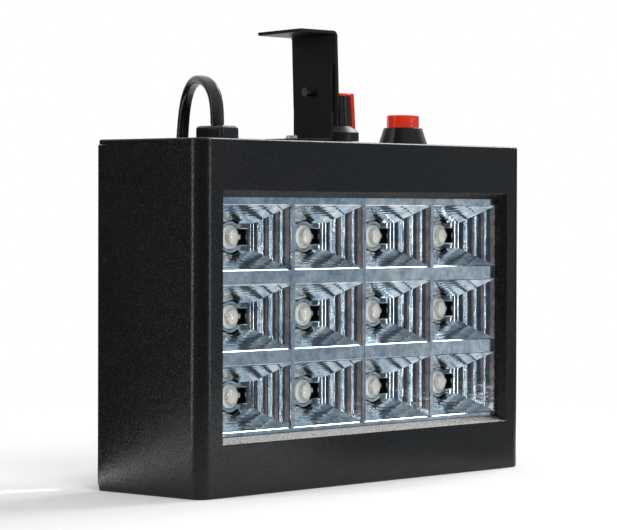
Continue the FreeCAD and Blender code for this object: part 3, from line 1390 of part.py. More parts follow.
def upper_bracket():
    """Made upright around the pivot, then leaned back about it."""
    body = Body("upper_bracket_body")
    profile = body.sketch("XZ_Plane")
    tip = "upper_outside - flange_length"
    polygon(profile, [
        ("upper_inside", "-upper_below"), ("upper_outside", "-upper_below"),
        ("upper_outside", "upper_above"), (tip, "upper_above"), (tip, "upper_above - sheet"),
        ("upper_inside", "upper_above - sheet")])
    body.pad(profile, "upper_width", middle=True)
    bend(body, (mm.upper_outside, mm.upper_above), (mm.upper_inside, mm.upper_above - mm.sheet))
    body.fillet("leg_corner", lambda b: near(b.XLength, mm.sheet) and near(b.ZMin, -mm.upper_below))
    body.fillet("top_corner", lambda b: near(b.ZLength, mm.sheet) and near(b.XMin, value(tip)))
    pivot_hole = body.sketch("YZ_Plane", "upper_outside")
    circle(pivot_hole, "0", "0", "pivot_radius + slip")
    body.pocket(pivot_hole, "sheet", way=-1)
    hang_hole = body.sketch("XY_Plane", "upper_above")
    circle(hang_hole, "upper_outside - hang_hole_reach", "0", "hang_hole_radius")
    body.pocket(hang_hole, "sheet", way=-1)
    body.body.Placement.Rotation = FreeCAD.Rotation(V(-1, 0, 0), mm.bracket_lean)
    body.body.setExpression("Placement.Base.z", fx("pivot_level"))
    body.body.setExpression("Placement.Rotation.Angle", fx("bracket_lean"))
    keep(body.body, "bracket_upper")

    keep(ring("spring_washer", ("upper_outside + face_gap", "0", "pivot_level"), "pivot_washer_radius",
              "pivot_washer", "pivot_radius + thread_gap", "+x"), "pivot_washer")
    under_head = "upper_outside + face_gap + pivot_washer"
    keep(screw("pivot", (under_head, "0", "pivot_level"), "+x", "pivot_radius",
               "%s - leg_inside + pivot_end" % under_head, "pivot_head_radius", "pivot_head_height"),
         "pivot_screw")


front_shell()
rear_cover()
cover_screws()
reflectors()
led_board()
leds()
driver()
wires()
potentiometer()
knob()
push_button()
strain_relief()
lead()
plug()
lower_bracket()
upper_bracket()

doc.removeObject(probe.Name)
doc.recompute()
for piece in doc.Objects:
    if "Invalid" in piece.State or "Error" in piece.State:
        raise ValueError("%s failed: %s" % (piece.Label, piece.State))
for piece in subparts:
    if piece.Shape.isNull() or not piece.Shape.isValid():
        raise ValueError("%s has no valid shape" % piece.Label)

os.makedirs("parts", exist_ok=True)
for piece in subparts:
    piece.Shape.exportStep("parts/%s.step" % piece.Label)
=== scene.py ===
import math

import bmesh
import bpy
from bpy.props import FloatProperty, FloatVectorProperty, IntProperty, PointerProperty
from mathutils import Matrix, Vector


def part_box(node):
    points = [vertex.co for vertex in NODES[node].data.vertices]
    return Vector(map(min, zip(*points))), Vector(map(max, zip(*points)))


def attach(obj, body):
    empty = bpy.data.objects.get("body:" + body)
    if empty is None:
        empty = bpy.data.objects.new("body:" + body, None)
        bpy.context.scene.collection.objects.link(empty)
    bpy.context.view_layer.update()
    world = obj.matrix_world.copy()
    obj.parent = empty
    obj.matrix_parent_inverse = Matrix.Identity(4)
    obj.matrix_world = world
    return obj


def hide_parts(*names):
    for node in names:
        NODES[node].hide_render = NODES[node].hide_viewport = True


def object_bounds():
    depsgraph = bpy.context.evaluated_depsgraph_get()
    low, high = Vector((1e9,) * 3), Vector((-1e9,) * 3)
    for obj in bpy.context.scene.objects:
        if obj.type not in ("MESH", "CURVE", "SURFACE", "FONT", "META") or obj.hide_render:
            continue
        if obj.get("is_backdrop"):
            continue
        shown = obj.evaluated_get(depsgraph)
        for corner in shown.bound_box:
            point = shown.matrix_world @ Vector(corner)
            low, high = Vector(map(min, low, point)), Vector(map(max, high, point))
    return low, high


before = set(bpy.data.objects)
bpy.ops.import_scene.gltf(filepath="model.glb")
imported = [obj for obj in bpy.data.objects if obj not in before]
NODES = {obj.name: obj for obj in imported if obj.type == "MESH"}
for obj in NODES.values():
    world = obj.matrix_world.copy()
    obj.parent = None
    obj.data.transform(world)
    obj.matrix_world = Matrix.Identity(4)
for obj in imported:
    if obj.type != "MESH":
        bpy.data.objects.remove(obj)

bl_info = {
    "name": "LED stroboscope",
    "version": (1, 0, 0),
    "blender": (4, 5, 0),
    "location": "3D View > Sidebar > Stroboscope",
    "description": "Finishes, mains lead, light head and studio around the packed stroboscope",
    "category": "Object",
}

CAD_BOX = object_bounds()
X, Y, Z = Vector((1, 0, 0)), Vector((0, 1, 0)), Vector((0, 0, 1))

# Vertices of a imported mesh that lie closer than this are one.
MERGE = 2e-6
# The smallest step and clearance on the shapes made here.
EASE = 0.0001


# ---------------------------------------------------------------- sizes and colours


def length(name, description, default):
    return FloatProperty(name=name, description=description, default=default, unit="LENGTH", precision=5)


def angle(name, description, degrees):
    return FloatProperty(name=name, description=description, default=math.radians(degrees), subtype="ANGLE")


def colour(name, description, default):
    return FloatVectorProperty(name=name, description=description, default=default, subtype="COLOR",
                               size=3, min=0, max=1)


class LeadSizes(bpy.types.PropertyGroup):
    """The flat mains lead and its coil"""

    width: length("Width", "Wide side of the flat lead", 0.005)
    thickness: length("Thickness", "Thin side of the flat lead", 0.003)
    whole: length("Length", "From the strain relief to the plug", 1.2)
    outer_turn: length("Outer turns", "Radius at the middle of the outer turns", 0.0286)
    inner_turn: length("Inner turns", "Radius at the middle of the inner turns", 0.0236)
    layer: length("Layer", "Height from one layer of turns to the next", 0.003)
    lowest: length("Lowest turn", "Middle of the lowest turns above the floor", 0.0025)
    turn_points: IntProperty(name="Points in a turn", description="Control points of one turn", default=15)
    tape: length("Tape", "Thickness of the tape around the coil", 0.0006)
    tape_bend: length("Tape bend", "Rounding of the tape's corners", 0.0022)
    lap_start: length("Lap start", "From the tape's back to the start of its lapped end", 0.0030)
    lap_end: length("Lap end", "From the tape's back to the tip of its lapped end", 0.0095)


class CellSizes(bpy.types.PropertyGroup):
    """The reflector cells and the emitters in them"""

    pitch_x: length("Pitch along X", "Cell to cell, sideways", 0.038)
    pitch_z: length("Pitch along Z", "Cell to cell, upwards", 0.0276)
    middle_x: length("Middle along X", "Middle of the four columns", 0.0008)
    middle_z: length("Middle along Z", "Middle row", 0.06035)
    mouth_x: length("Mouth width", "Mouth of a cell", 0.037)
    mouth_z: length("Mouth height", "Mouth of a cell", 0.0225)
    floor_x: length("Floor width", "Floor of a cell", 0.0238)
    floor_z: length("Floor height", "Floor of a cell", 0.0095)
    mouth_plane: length("Mouth plane", "Place of the mouths along Y", -0.02115)
    floor_plane: length("Floor plane", "Place of the floors along Y", -0.00895)
    flutes: IntProperty(name="Flutes", description="Upright scoops on each side wall", default=4)
    flute_depth: length("Flute depth", "Depth of a scoop", 0.00020)
    ripples: IntProperty(name="Ripples", description="Level scoops on the upper and lower walls", default=8)
    ripple_depth: length("Ripple depth", "Depth of a level scoop", 0.00003)
    lip: length("Lip", "Rounding of the mouth's edge", 0.00028)
    rib: length("Rib", "Width of the raised ribs between the columns", 0.0017)
    rib_rise: length("Rib rise", "Rise of the ribs above the mouths", 0.00006)
    skin: length("Skin", "Taken off every wall so that the flutes cut cleanly", 0.00004)
    recess: length("Recess", "Radius of the round recess at the floor", 0.0062)
    slot_x: length("Slot length", "Slot in the floor for the leads", 0.0171)
    slot_z: length("Slot height", "Slot in the floor for the leads", 0.0056)
    chamfer: length("Chamfer", "Eased edges of the slot", 0.00028)
    emitter: length("Emitter", "Radius of an emitter's body", 0.0042)
    lens: length("Lens seat", "Radius of the seat of the lens", 0.0034)
    shoulder: length("Shoulder", "Rise of the body to the seat of its lens", 0.0005)
    groove: length("Groove", "Depth of the groove around the lens", 0.00018)
    dome: length("Dome", "Radius of the lens's dome", 0.0029)
    dome_rise: length("Dome height", "Rise of the dome above its seat", 0.0013)
    chip: length("Chip", "Radius of the yellow chip under the lens", 0.0011)


class ReliefSizes(bpy.types.PropertyGroup):
    """The head of the strain relief"""

    corner: length("Corner radius", "Middle to a corner of the six-sided head", 0.0074)
    turn: angle("Turn", "How far the six-sided head is turned", 19)
    edge: length("Edge", "Rounding of the head's edges", 0.0012)
    lock_width: length("Wedge width", "Head of the locking wedge, along X", 0.0084)
    lock_depth: length("Wedge depth", "Head of the locking wedge, along Y", 0.0045)
    lock_edge: length("Wedge edge", "Rounding of the locking wedge", 0.0011)
    foot: length("Foot", "Height at the head's foot that keeps its sharp corners", 0.001)


class EdgeSizes(bpy.types.PropertyGroup):
    """How far the edges of the moulded and bent pieces are rounded"""

    plug: length("Plug", "Edges of the plug", 0.0016)
    collar: length("Collar", "Edges of the push button's collar", 0.00035)
    collar_foot: length("Collar foot", "Height at the collar's foot that keeps its sharp edges", 0.0009)
    knob_cap: length("Knob cap", "Edges of the knob's cap and pointer", 0.00045)
    bracket: length("Bracket", "Edges of the bracket's steel", 0.00014)
    rib: length("Rib", "Edges of the ribs between the cells", 0.00003)
    tape: length("Tape", "Edges of the tape's lapped end", 0.0002)


class Colours(bpy.types.PropertyGroup):
    """Colours of the main finishes"""

    housing: colour("Housing", "Moulded housing", (0.0052, 0.0052, 0.0054))
    paint: colour("Bracket", "Paint on the bracket", (0.003, 0.003, 0.0031))
    red: colour("Red", "Knob cap and push button", (0.92, 0.034, 0.003))
    chrome: colour("Chrome", "Metallised reflectors", (0.78, 0.84, 0.87))
    cream: colour("Cream", "Emitter bodies", (1.0, 1.0, 0.99))
    sheath: colour("Lead", "Sheath of the mains lead", (0.004, 0.004, 0.0042))


class StageSizes(bpy.types.PropertyGroup):
    """The camera and the studio"""

    place: FloatVectorProperty(name="Camera", description="Place of the camera", size=3,
                               default=(-0.75506, -0.67365, 0.09669), subtype="XYZ", unit="LENGTH")
    heading: angle("Heading", "From +Y towards +X", 48.044)
    down: angle("Pitch", "Below the level", 1.088)
    roll: angle("Roll", "Turn about the line of sight", 0.148)
    lens: FloatProperty(name="Focal length", description="Millimetres on a 36 mm sensor", default=162.54)
    ambient: FloatProperty(name="Ambient", description="Strength of the surrounding light", default=0.45)
    floor: length("Floor", "Radius of the floor", 4.0)
    fade_start: length("Fade start", "Distance at which the floor starts to fade", 0.14)
    fade_end: length("Fade end", "Distance at which the floor has faded away", 0.42)


class Strobe(bpy.types.PropertyGroup):
    """Everything that can be set"""

    lead: PointerProperty(type=LeadSizes)
    cell: PointerProperty(type=CellSizes)
    relief: PointerProperty(type=ReliefSizes)
    edges: PointerProperty(type=EdgeSizes)
    colours: PointerProperty(type=Colours)
    stage: PointerProperty(type=StageSizes)


# ---------------------------------------------------------------- finishes


class Value:
    """A socket of a finish. Arithmetic on it adds Math nodes."""

    def __init__(self, finish, socket):
        self.finish = finish
        self.socket = socket

    def math(self, operation, first, second):
        return self.finish.node("Math", {"operation": operation}, {0: first, 1: second})

    def __add__(self, other):
        return self.math("ADD", self, other)

    def __sub__(self, other):
        return self.math("SUBTRACT", self, other)

    def __rsub__(self, other):
        return self.math("SUBTRACT", other, self)

    def __mul__(self, other):
        return self.math("MULTIPLY", self, other)

    def __pow__(self, other):
        return self.math("POWER", self, other)

    __radd__ = __add__
    __rmul__ = __mul__


class Finish:
    """The nodes of one material or of the world."""

    def __init__(self, tree):
        self.tree = tree

    def node(self, kind, settings, sockets, output=0):
        """Adds a node: first its settings, then the values or links of its sockets."""
        made = self.tree.nodes.new("ShaderNode" + kind)
        for name, setting in settings.items():
            if name == "stops":
                ramp = made.color_ramp.elements
                while len(ramp) < len(setting):
                    ramp.new(1)
                for stop, (place, shade) in zip(ramp, setting):
                    stop.position = place
                    stop.color = shade
            else:
                setattr(made, name, setting)
        live = [socket for socket in made.inputs if socket.enabled]
        for name, given in sockets.items():
            into = live[name] if isinstance(name, int) else next(s for s in live if s.name == name)
            self.feed(into, given)
        outputs = [socket for socket in made.outputs if socket.enabled]
        if isinstance(output, str):
            return Value(self, next(s for s in outputs if s.name == output))
        return Value(self, outputs[output])

    def feed(self, into, given):
        if isinstance(given, Value):
            self.tree.links.new(given.socket, into)
        else:
            into.default_value = given

    def place(self, scale=(1, 1, 1), turn=(0, 0, 0)):
        """Object coordinates in metres, stretched and turned."""
        start = self.node("TexCoord", {}, {}, "Object")
        return self.node("Mapping", {}, {"Vector": start, "Scale": scale, "Rotation": turn})

    def noise(self, fineness, detail=2, rough=0.5, **mapping):
        return self.node("TexNoise", {}, {
            "Vector": self.place(**mapping), "Scale": fineness, "Detail": detail, "Roughness": rough})

    def mix(self, share, first, second):
        return self.node("Mix", {"data_type": "RGBA"}, {"Factor": share, "A": first, "B": second})

    def spread(self, value, low, high):
        """A value between 0 and 1 taken to lie between two others, and held there."""
        return self.node("MapRange", {"clamp": True}, {"Value": value, "To Min": low, "To Max": high})


def rgba(shade):
    return (*shade, 1)


def finish(name, **shader):
    """A material with its shader's fixed sockets set."""
    material = bpy.data.materials.new(name)
    material.use_nodes = True
    made = Finish(material.node_tree)
    made.material = material
    made.shader = material.node_tree.nodes["Principled BSDF"].inputs
    for socket, setting in shader.items():
        made.shader[socket.replace("_", " ")].default_value = setting
    return made


def relief(made, height, depth):
    """A bump of a real depth in metres."""
    normal = made.node("Bump", {}, {"Height": height, "Distance": depth, "Strength": 1.0})
    made.feed(made.shader["Normal"], normal)


def moulded(name, shade, rough, grain, depth, specular=0.5, tone=0.25, vary=0.09):
    """Moulded plastic with an eroded grain and faint tone changes."""
    made = finish(name, Specular_IOR_Level=specular)
    cloud = made.noise(38, 3)
    pale = [min(1, part * (1 + tone) + 0.001) for part in shade]
    dark = [part * (1 - tone) for part in shade]
    made.feed(made.shader["Base Color"], made.mix(cloud, rgba(dark), rgba(pale)))
    fine = made.noise(grain, 3, 0.6)
    made.feed(made.shader["Roughness"], made.spread(fine, rough - vary, rough + vary))
    relief(made, fine + 0.4 * made.noise(grain * 0.35, 2), depth)
    return made.material


def shiny(name, shade, rough=0.22):
    """Smooth moulded plastic with faint flow marks."""
    made = finish(name, Specular_IOR_Level=0.5)
    cloud = made.noise(90, 3)
    dark = [part * 0.82 for part in shade]
    made.feed(made.shader["Base Color"], made.mix(cloud, rgba(dark), rgba(shade)))
    wear = made.noise(700, 4, 0.65)
    made.feed(made.shader["Roughness"], made.spread(wear, rough - 0.06, rough + 0.1))
    relief(made, made.noise(420, 2), 0.00002)
    return made.material


def plated(name, shade, rough, grain=(1, 1, 1)):
    """Plated or drawn metal, with a grain that may run one way."""
    made = finish(name, Metallic=1.0)
    streak = made.noise(1800, 3, 0.6, scale=grain)
    dark = [part * 0.8 for part in shade]
    made.feed(made.shader["Base Color"], made.mix(streak, rgba(dark), rgba(shade)))
    made.feed(made.shader["Roughness"], made.spread(streak, rough - 0.08, rough + 0.12))
    relief(made, streak, 0.000006)
    return made.material


def painted_recess_band(made, cell):
    """1 on a thin band where the recesses cut into the upper and lower walls, which is painted shade for
    the dark reflections there, else 0.
    """
    inset = 0.0002
    band = 0.0005
    x, z = [made.node("SeparateXYZ", {}, {0: made.place()}, way) for way in "XZ"]
    across = made.node("Math", {"operation": "WRAP"}, {
        0: x - (cell.middle_x + cell.pitch_x / 2), 1: cell.pitch_x / 2, 2: -cell.pitch_x / 2})
    up = made.node("Math", {"operation": "WRAP"}, {
        0: z - cell.middle_z, 1: cell.pitch_z / 2, 2: -cell.pitch_z / 2})
    reach = (across * across + up * up) ** 0.5
    beside = made.node("Math", {"operation": "COMPARE"}, {0: reach, 1: cell.recess - inset, 2: band})
    above = made.node("Math", {"operation": "GREATER_THAN"}, {
        0: up * up, 1: (cell.floor_z / 2 - inset) ** 2})
    return beside * above


def metallised(name, shade, cell):
    """Vacuum-metallised moulding: mirror bright, with the waviness of the plastic under it."""
    made = finish(name, Metallic=0.95)
    # The mottle is partly uneven plating and partly painted reflection: its dim, bluish patches stand in
    # for the broken-up reflections on the bars.
    mottle = made.noise(170, 5, 0.7)
    dim_reflection = [part * share for part, share in zip(shade, (0.5, 0.58, 0.66))]
    plating_and_reflection = made.mix(made.spread(mottle, -1.2, 2.4), rgba(dim_reflection), rgba(shade))
    # The recess band is painted near black: painted shade for the dark reflections in the recesses.
    made.feed(made.shader["Base Color"], made.mix(painted_recess_band(made, cell), plating_and_reflection, (0.003, 0.003, 0.003, 1)))
    made.feed(made.shader["Roughness"], made.spread(made.noise(1500, 3), 0.04, 0.12))
    wave = made.noise(150, 2, 0.5, scale=(0.55, 1, 1.6))
    relief(made, wave + 0.12 * mottle, 0.00006)
    return made.material


def cast_lens(name):
    """Clear cast resin with a faintly rippled skin."""
    made = finish(name, Transmission_Weight=0.8, IOR=1.46)
    ripple = made.noise(900, 2)
    made.feed(made.shader["Base Color"], made.mix(ripple, (0.97, 0.97, 0.94, 1), (1, 1, 0.99, 1)))
    made.feed(made.shader["Roughness"], made.spread(ripple, 0.02, 0.09))
    relief(made, made.noise(650, 2), 0.00006)
    return made.material


def emitter_plastic(name, shade):
    """Cream moulding with a faint, slightly warmer clouding."""
    made = finish(name, Specular_IOR_Level=0.4)
    cloud = made.noise(500, 3)
    warm = [part * share for part, share in zip(shade, (1, 0.985, 0.95))]
    made.feed(made.shader["Base Color"], made.mix(cloud, rgba(warm), rgba(shade)))
    made.feed(made.shader["Roughness"], made.spread(cloud, 0.3, 0.45))
    relief(made, made.noise(1400, 2), 0.00002)
    return made.material


def phosphor(name):
    """The pale yellow grains over a chip."""
    made = finish(name, Specular_IOR_Level=0.3)
    grains = made.noise(4200, 3)
    made.feed(made.shader["Base Color"], made.mix(grains, (0.93, 0.9, 0.74, 1), (0.97, 0.96, 0.88, 1)))
    made.feed(made.shader["Roughness"], made.spread(grains, 0.45, 0.6))
    relief(made, grains, 0.00003)
    return made.material


def laminate(name):
    """Green solder mask over copper tracks."""
    made = finish(name, Specular_IOR_Level=0.5)
    tracks = made.node("TexBrick", {"offset": 0.35, "squash": 0.7}, {
        "Vector": made.place(turn=(math.radians(90), 0, 0)), "Scale": 60.0, "Mortar Size": 0.03,
        "Color1": (0.02, 0.11, 0.045, 1), "Color2": (0.024, 0.13, 0.05, 1),
        "Mortar": (0.045, 0.2, 0.075, 1)})
    made.feed(made.shader["Base Color"], tracks)
    made.feed(made.shader["Roughness"], made.spread(made.noise(900, 2), 0.25, 0.4))
    relief(made, made.node("RGBToBW", {}, {"Color": tracks}), 0.0001)
    return made.material


def woven(name, shade):
    """Hook-and-loop tape: a fuzzy weave."""
    made = finish(name, Specular_IOR_Level=0.2, Sheen_Weight=0.5, Sheen_Roughness=0.5)
    across, along = [
        made.node("TexWave", {"bands_direction": way}, {
            "Vector": made.place(), "Scale": 520.0, "Distortion": 1.5, "Detail": 1.0}, "Fac")
        for way in "XZ"
    ]
    weave = across * along + 0.5 * made.noise(3500, 3)
    pale = [part * 1.9 for part in shade]
    made.feed(made.shader["Base Color"], made.mix(weave, rgba(shade), rgba(pale)))
    made.feed(made.shader["Roughness"], made.spread(weave, 0.7, 0.95))
    relief(made, weave, 0.00025)
    return made.material


def finishes():
    """Every finish by the name of its slot, or by its own name where only some pieces of a slot have it."""
    tint = bpy.context.scene.strobe.colours
    return {
        "housing_plastic": moulded("eroded_black", tint.housing, 0.22, 1500, 0.00005, 0.3, vary=0.32),
        "knob_plastic": moulded("knob_black", (0.006, 0.006, 0.0065), 0.34, 2200, 0.00002, 0.3),
        "chip_resin": moulded("resin", (0.016, 0.016, 0.017), 0.55, 5000, 0.00002),
        "bushing_nylon": moulded("nylon", (0.007, 0.007, 0.0075), 0.24, 1500, 0.00002, 0.5),
        "block_plastic": moulded("green_block", (0.03, 0.2, 0.07), 0.42, 2000, 0.00002),
        "transformer_core": moulded("varnished_core", (0.12, 0.09, 0.05), 0.35, 1200, 0.00006, 0.5, 0.4),
        "button_plastic": moulded("collar_black", (0.004, 0.004, 0.0042), 0.26, 2400, 0.00001, 0.22),
        "bracket_steel": moulded("satin_paint", tint.paint, 0.4, 1700, 0.00002, 0.22),
        "cord_pvc": moulded("sheath", tint.sheath, 0.24, 900, 0.00003, 0.4),
        "red_plastic": shiny("red_cap", tint.red, 0.24),
        "capacitor_sleeve": shiny("blue_sleeve", (0.012, 0.03, 0.11)),
        "wire_insulation": shiny("red_wire", (0.3, 0.02, 0.018)),
        "emitter_body": emitter_plastic("cream_body", tint.cream),
        "emitter_lens": cast_lens("clear_dome"),
        "reflector_chrome": metallised("metallised", tint.chrome, bpy.context.scene.strobe.cell),
        "zinc_screws": plated("zinc", (0.62, 0.62, 0.6), 0.3),
        "blued": plated("blued_steel", (0.12, 0.12, 0.125), 0.35),
        "nickel": plated("nickel_plate", (0.66, 0.64, 0.6), 0.2),
        "dark_nickel": plated("dull_nickel", (0.3, 0.29, 0.28), 0.24),
        "tinned_metal": plated("tin", (0.7, 0.66, 0.56), 0.38),
        "fuse_glass": plated("fuse_caps", (0.68, 0.66, 0.62), 0.28),
        "pot_metal": plated("pot_case", (0.58, 0.55, 0.48), 0.35),
        "spring_steel": plated("spring_wire", (0.55, 0.55, 0.54), 0.22, (1, 1, 8)),
        "plug_brass": plated("plug_pins_plate", (0.72, 0.68, 0.58), 0.18, (0.1, 1, 1)),
        "board_laminate": laminate("solder_mask"),
        # A near-black finish for the LED board, which keeps the lead slots in the cell floors near black.
        "dark_laminate": moulded("near_black_board", (0.006, 0.007, 0.007), 0.35, 1500, 0.00002),
        "tie_fabric": woven("loop_tape", (0.018, 0.018, 0.02)),
    }


# Filled by main(), once the colours can be read.
FINISHES = {}


# ---------------------------------------------------------------- mesh helpers


def placed(name, bm):
    """An object in the scene made from a bmesh, which it uses up."""
    mesh = bpy.data.meshes.new(name)
    bm.to_mesh(mesh)
    bm.free()
    made = bpy.data.objects.new(name, mesh)
    bpy.context.scene.collection.objects.link(made)
    return made


def piece(name, bm, body, slot, replaced, sharp=30, extra=()):
    """Turns a bmesh into a finished piece of the object."""
    made = placed(name, bm)
    mesh = made.data
    for material in (FINISHES[slot], *extra):
        mesh.materials.append(material)
    if "custom_normal" in mesh.attributes:
        mesh.attributes.remove(mesh.attributes["custom_normal"])
    mesh.shade_smooth()
    mesh.set_sharp_from_angle(angle=math.radians(sharp))
    even = made.modifiers.new("flat faces stay flat", "WEIGHTED_NORMAL")
    even.keep_sharp = True
    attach(made, body)
    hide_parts(*replaced)
    return made


def merged(name):
    """A copy of a node's mesh with its loose triangles merged."""
    bm = bmesh.new()
    bm.from_mesh(NODES[name].data)
    bmesh.ops.remove_doubles(bm, verts=bm.verts, dist=MERGE)
    return bm


def from_node(name):
    """A merged copy of a node's mesh with its flat faces whole again."""
    bm = merged(name)
    bmesh.ops.dissolve_limit(bm, angle_limit=math.radians(0.4), verts=bm.verts, edges=bm.edges)
    return bm


def soften(bm, width, segments=2, over=35, where=None):
    """Rounds the edges that are sharper than an angle."""
    edges = [
        edge for edge in bm.edges
        if edge.is_manifold and edge.calc_face_angle(0) > math.radians(over)
        and (where is None or all(where(vert.co) for vert in edge.verts))
    ]
    bmesh.ops.bevel(bm, geom=edges, offset=width, offset_type="OFFSET", segments=segments, profile=0.5,
                    affect="EDGES", material=-1, clamp_overlap=True)
    return bm


def block(low, high):
    """A box between two corners."""
    low, high = Vector(low), Vector(high)
    bm = bmesh.new()
    size = Matrix.Diagonal((*(high - low), 1))
    bmesh.ops.create_cube(bm, size=1, matrix=Matrix.Translation((low + high) / 2) @ size)
    return bm


def turned(profile, centre, facing, steps):
    """A closed shape spun from (radius, height) points about Z, then faced and placed."""
    bm = bmesh.new()
    verts = [bm.verts.new((radius, 0, height)) for radius, height in profile]
    edges = [bm.edges.new(pair) for pair in zip(verts, verts[1:])]
    bmesh.ops.spin(bm, geom=verts + edges, cent=(0, 0, 0), axis=Z, angle=math.tau, steps=steps,
                   use_merge=True, use_duplicate=False)
    bmesh.ops.remove_doubles(bm, verts=bm.verts, dist=MERGE / 2)
    bmesh.ops.recalc_face_normals(bm, faces=bm.faces)
    bmesh.ops.transform(bm, matrix=Matrix.Translation(centre) @ facing.to_4x4(), verts=bm.verts)
    return bm


def square_ring():
    """Four edges around a square of 2 by 2 that faces along Y."""
    bm = bmesh.new()
    upright = Matrix.Rotation(math.radians(90), 4, "X") @ Matrix.Rotation(math.radians(45), 4, "Z")
    bmesh.ops.create_circle(bm, segments=4, radius=math.sqrt(2), matrix=upright)
    return bm


def swept(bm, poses):
    """A ring of edges carried through poses, with a cap at each end."""
    ring = bm.edges[:]
    bmesh.ops.contextual_create(bm, geom=ring)
    bmesh.ops.transform(bm, matrix=poses[0], verts=bm.verts)
    for before, after in zip(poses, poses[1:]):
        new = bmesh.ops.extrude_edge_only(bm, edges=ring)["geom"]
        ring = [item for item in new if isinstance(item, bmesh.types.BMEdge)]
        verts = [item for item in new if isinstance(item, bmesh.types.BMVert)]
        bmesh.ops.transform(bm, matrix=after @ before.inverted(), verts=verts)
    bmesh.ops.contextual_create(bm, geom=ring)
    bmesh.ops.recalc_face_normals(bm, faces=bm.faces)
    return bm


def joined(parts):
    """Several bmeshes as one."""
    whole = bmesh.new()
    for part in parts:
        mesh = bpy.data.meshes.new("part")
        part.to_mesh(mesh)
        part.free()
        whole.from_mesh(mesh)
        bpy.data.meshes.remove(mesh)
    return whole


def carved(base, tool):
    """What is left of a bmesh once another is taken away."""
    objects = [placed("base", base), placed("tool", tool)]
    carve = objects[0].modifiers.new("carve", "BOOLEAN")
    carve.operation = "DIFFERENCE"
    carve.solver = "MANIFOLD"
    carve.object = objects[1]
    bpy.context.view_layer.update()
    result = bpy.data.meshes.new_from_object(
        objects[0].evaluated_get(bpy.context.evaluated_depsgraph_get()))
    whole = bmesh.new()
    whole.from_mesh(result)
    bpy.data.meshes.remove(result)
    for made in objects:
        mesh = made.data
        bpy.data.objects.remove(made)
        bpy.data.meshes.remove(mesh)
    return whole


def smoothstep(share):
    """0 up to 0, 1 from 1, and an even curve between."""
    share = min(1, max(0, share))
    return share * share * (3 - 2 * share)


# ---------------------------------------------------------------- stage


def card(name, start, end, profile, shade):
    """(reach, height) points spun from one bearing to another, in degrees: a card that only mirrors see."""
    step = 4
    bm = bmesh.new()
    turn = Matrix.Rotation(math.radians(start), 3, "Z")
    verts = [bm.verts.new(turn @ Vector((reach, 0, height))) for reach, height in profile]
    edges = [bm.edges.new(pair) for pair in zip(verts, verts[1:])]
    bmesh.ops.spin(bm, geom=verts + edges, cent=(0, 0, 0), axis=Z, angle=math.radians(end - start),
                   steps=max(2, round((end - start) / step)), use_duplicate=False)
    made = placed(name, bm)
    cloth = finish(name + "_cloth")
    patches = cloth.spread(cloth.noise(70, 5, 0.65), -0.6, 1.6)
    pale, dark = [[part * share for part in shade] for share in (1.7, 0.5)]
    glow = cloth.node("Emission", {}, {
        "Color": cloth.mix(patches, rgba(dark), rgba(pale)), "Strength": 1.0})
    cloth.feed(cloth.tree.nodes["Material Output"].inputs["Surface"], glow)
    made.data.materials.append(cloth.material)
    for ray in ("camera", "diffuse", "transmission", "volume_scatter", "shadow"):
        setattr(made, "visible_" + ray, False)
    made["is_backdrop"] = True


def softbox(name, place, size, radiance):
    """A square lamp of a given brightness."""
    lamp = bpy.data.lights.new(name, "AREA")
    lamp.shape = "SQUARE"
    lamp.size = size
    lamp.energy = radiance * math.pi * size * size
    made = bpy.data.objects.new(name, lamp)
    made.location = place
    made.rotation_euler = (Vector(place) - LAMP_TARGET).to_track_quat("Z", "Y").to_euler()
    bpy.context.scene.collection.objects.link(made)


# What the lamps face: the middle of the housing.
LAMP_TARGET = Vector((0, 0, 0.06))

# Each lamp's name, place, side and brightness.
LAMPS = (
    ("key_lamp", (0.83, -0.05, 0.80), 0.6, 9.0),
    ("left_lamp", (-1.1, 0.3, 0.85), 0.5, 5.0),
    ("front_lamp", (-0.62, -1.05, 1.0), 0.7, 5.5),
)

# A card's foot on the floor, and how it stands or hangs, as (reach, height) points.
STANDING = ((0.27, 0.001), (0.6, 0.001), (0.6, 0.2))
CLOSE = ((0.1, 0.001), (0.6, 0.001), (0.6, 0.42))
HANGING = ((0.6, 0.2), (0.6, 1.0))

# Each card's name, its first and last bearing in degrees, its profile and its colour.
CARDS = (
    ("side_card", 98, 156, CLOSE, (0.012, 0.012, 0.013)),
    ("left_strip_card", 156, 160, CLOSE, (9.0, 9.1, 9.2)),
    ("pale_card", 160, 182, STANDING, (0.13, 0.165, 0.19)),
    ("brown_card", 182, 206, STANDING, (0.15, 0.105, 0.098)),
    ("night_card", 206, 262, STANDING, (0.008, 0.018, 0.026)),
    ("haze_card", 165, 262, HANGING, (0.20, 0.23, 0.25)),
    ("dusk_card", 262, 272, STANDING, (0.15, 0.11, 0.10)),
    ("slate_card", 272, 284, STANDING, (0.01, 0.016, 0.02)),
    ("dim_card", 284, 290, CLOSE, (0.06, 0.08, 0.095)),
    ("right_strip_card", 290, 293.5, CLOSE, (10.0, 10.1, 10.2)),
    ("dull_card", 293.5, 300, CLOSE, (0.10, 0.13, 0.15)),
    ("front_card", 300, 318, CLOSE, (0.22, 0.27, 0.32)),
    ("bright_front_card", 318, 338, CLOSE, (0.34, 0.39, 0.43)),
    ("right_card", 338, 378, STANDING, (0.03, 0.032, 0.036)),
)


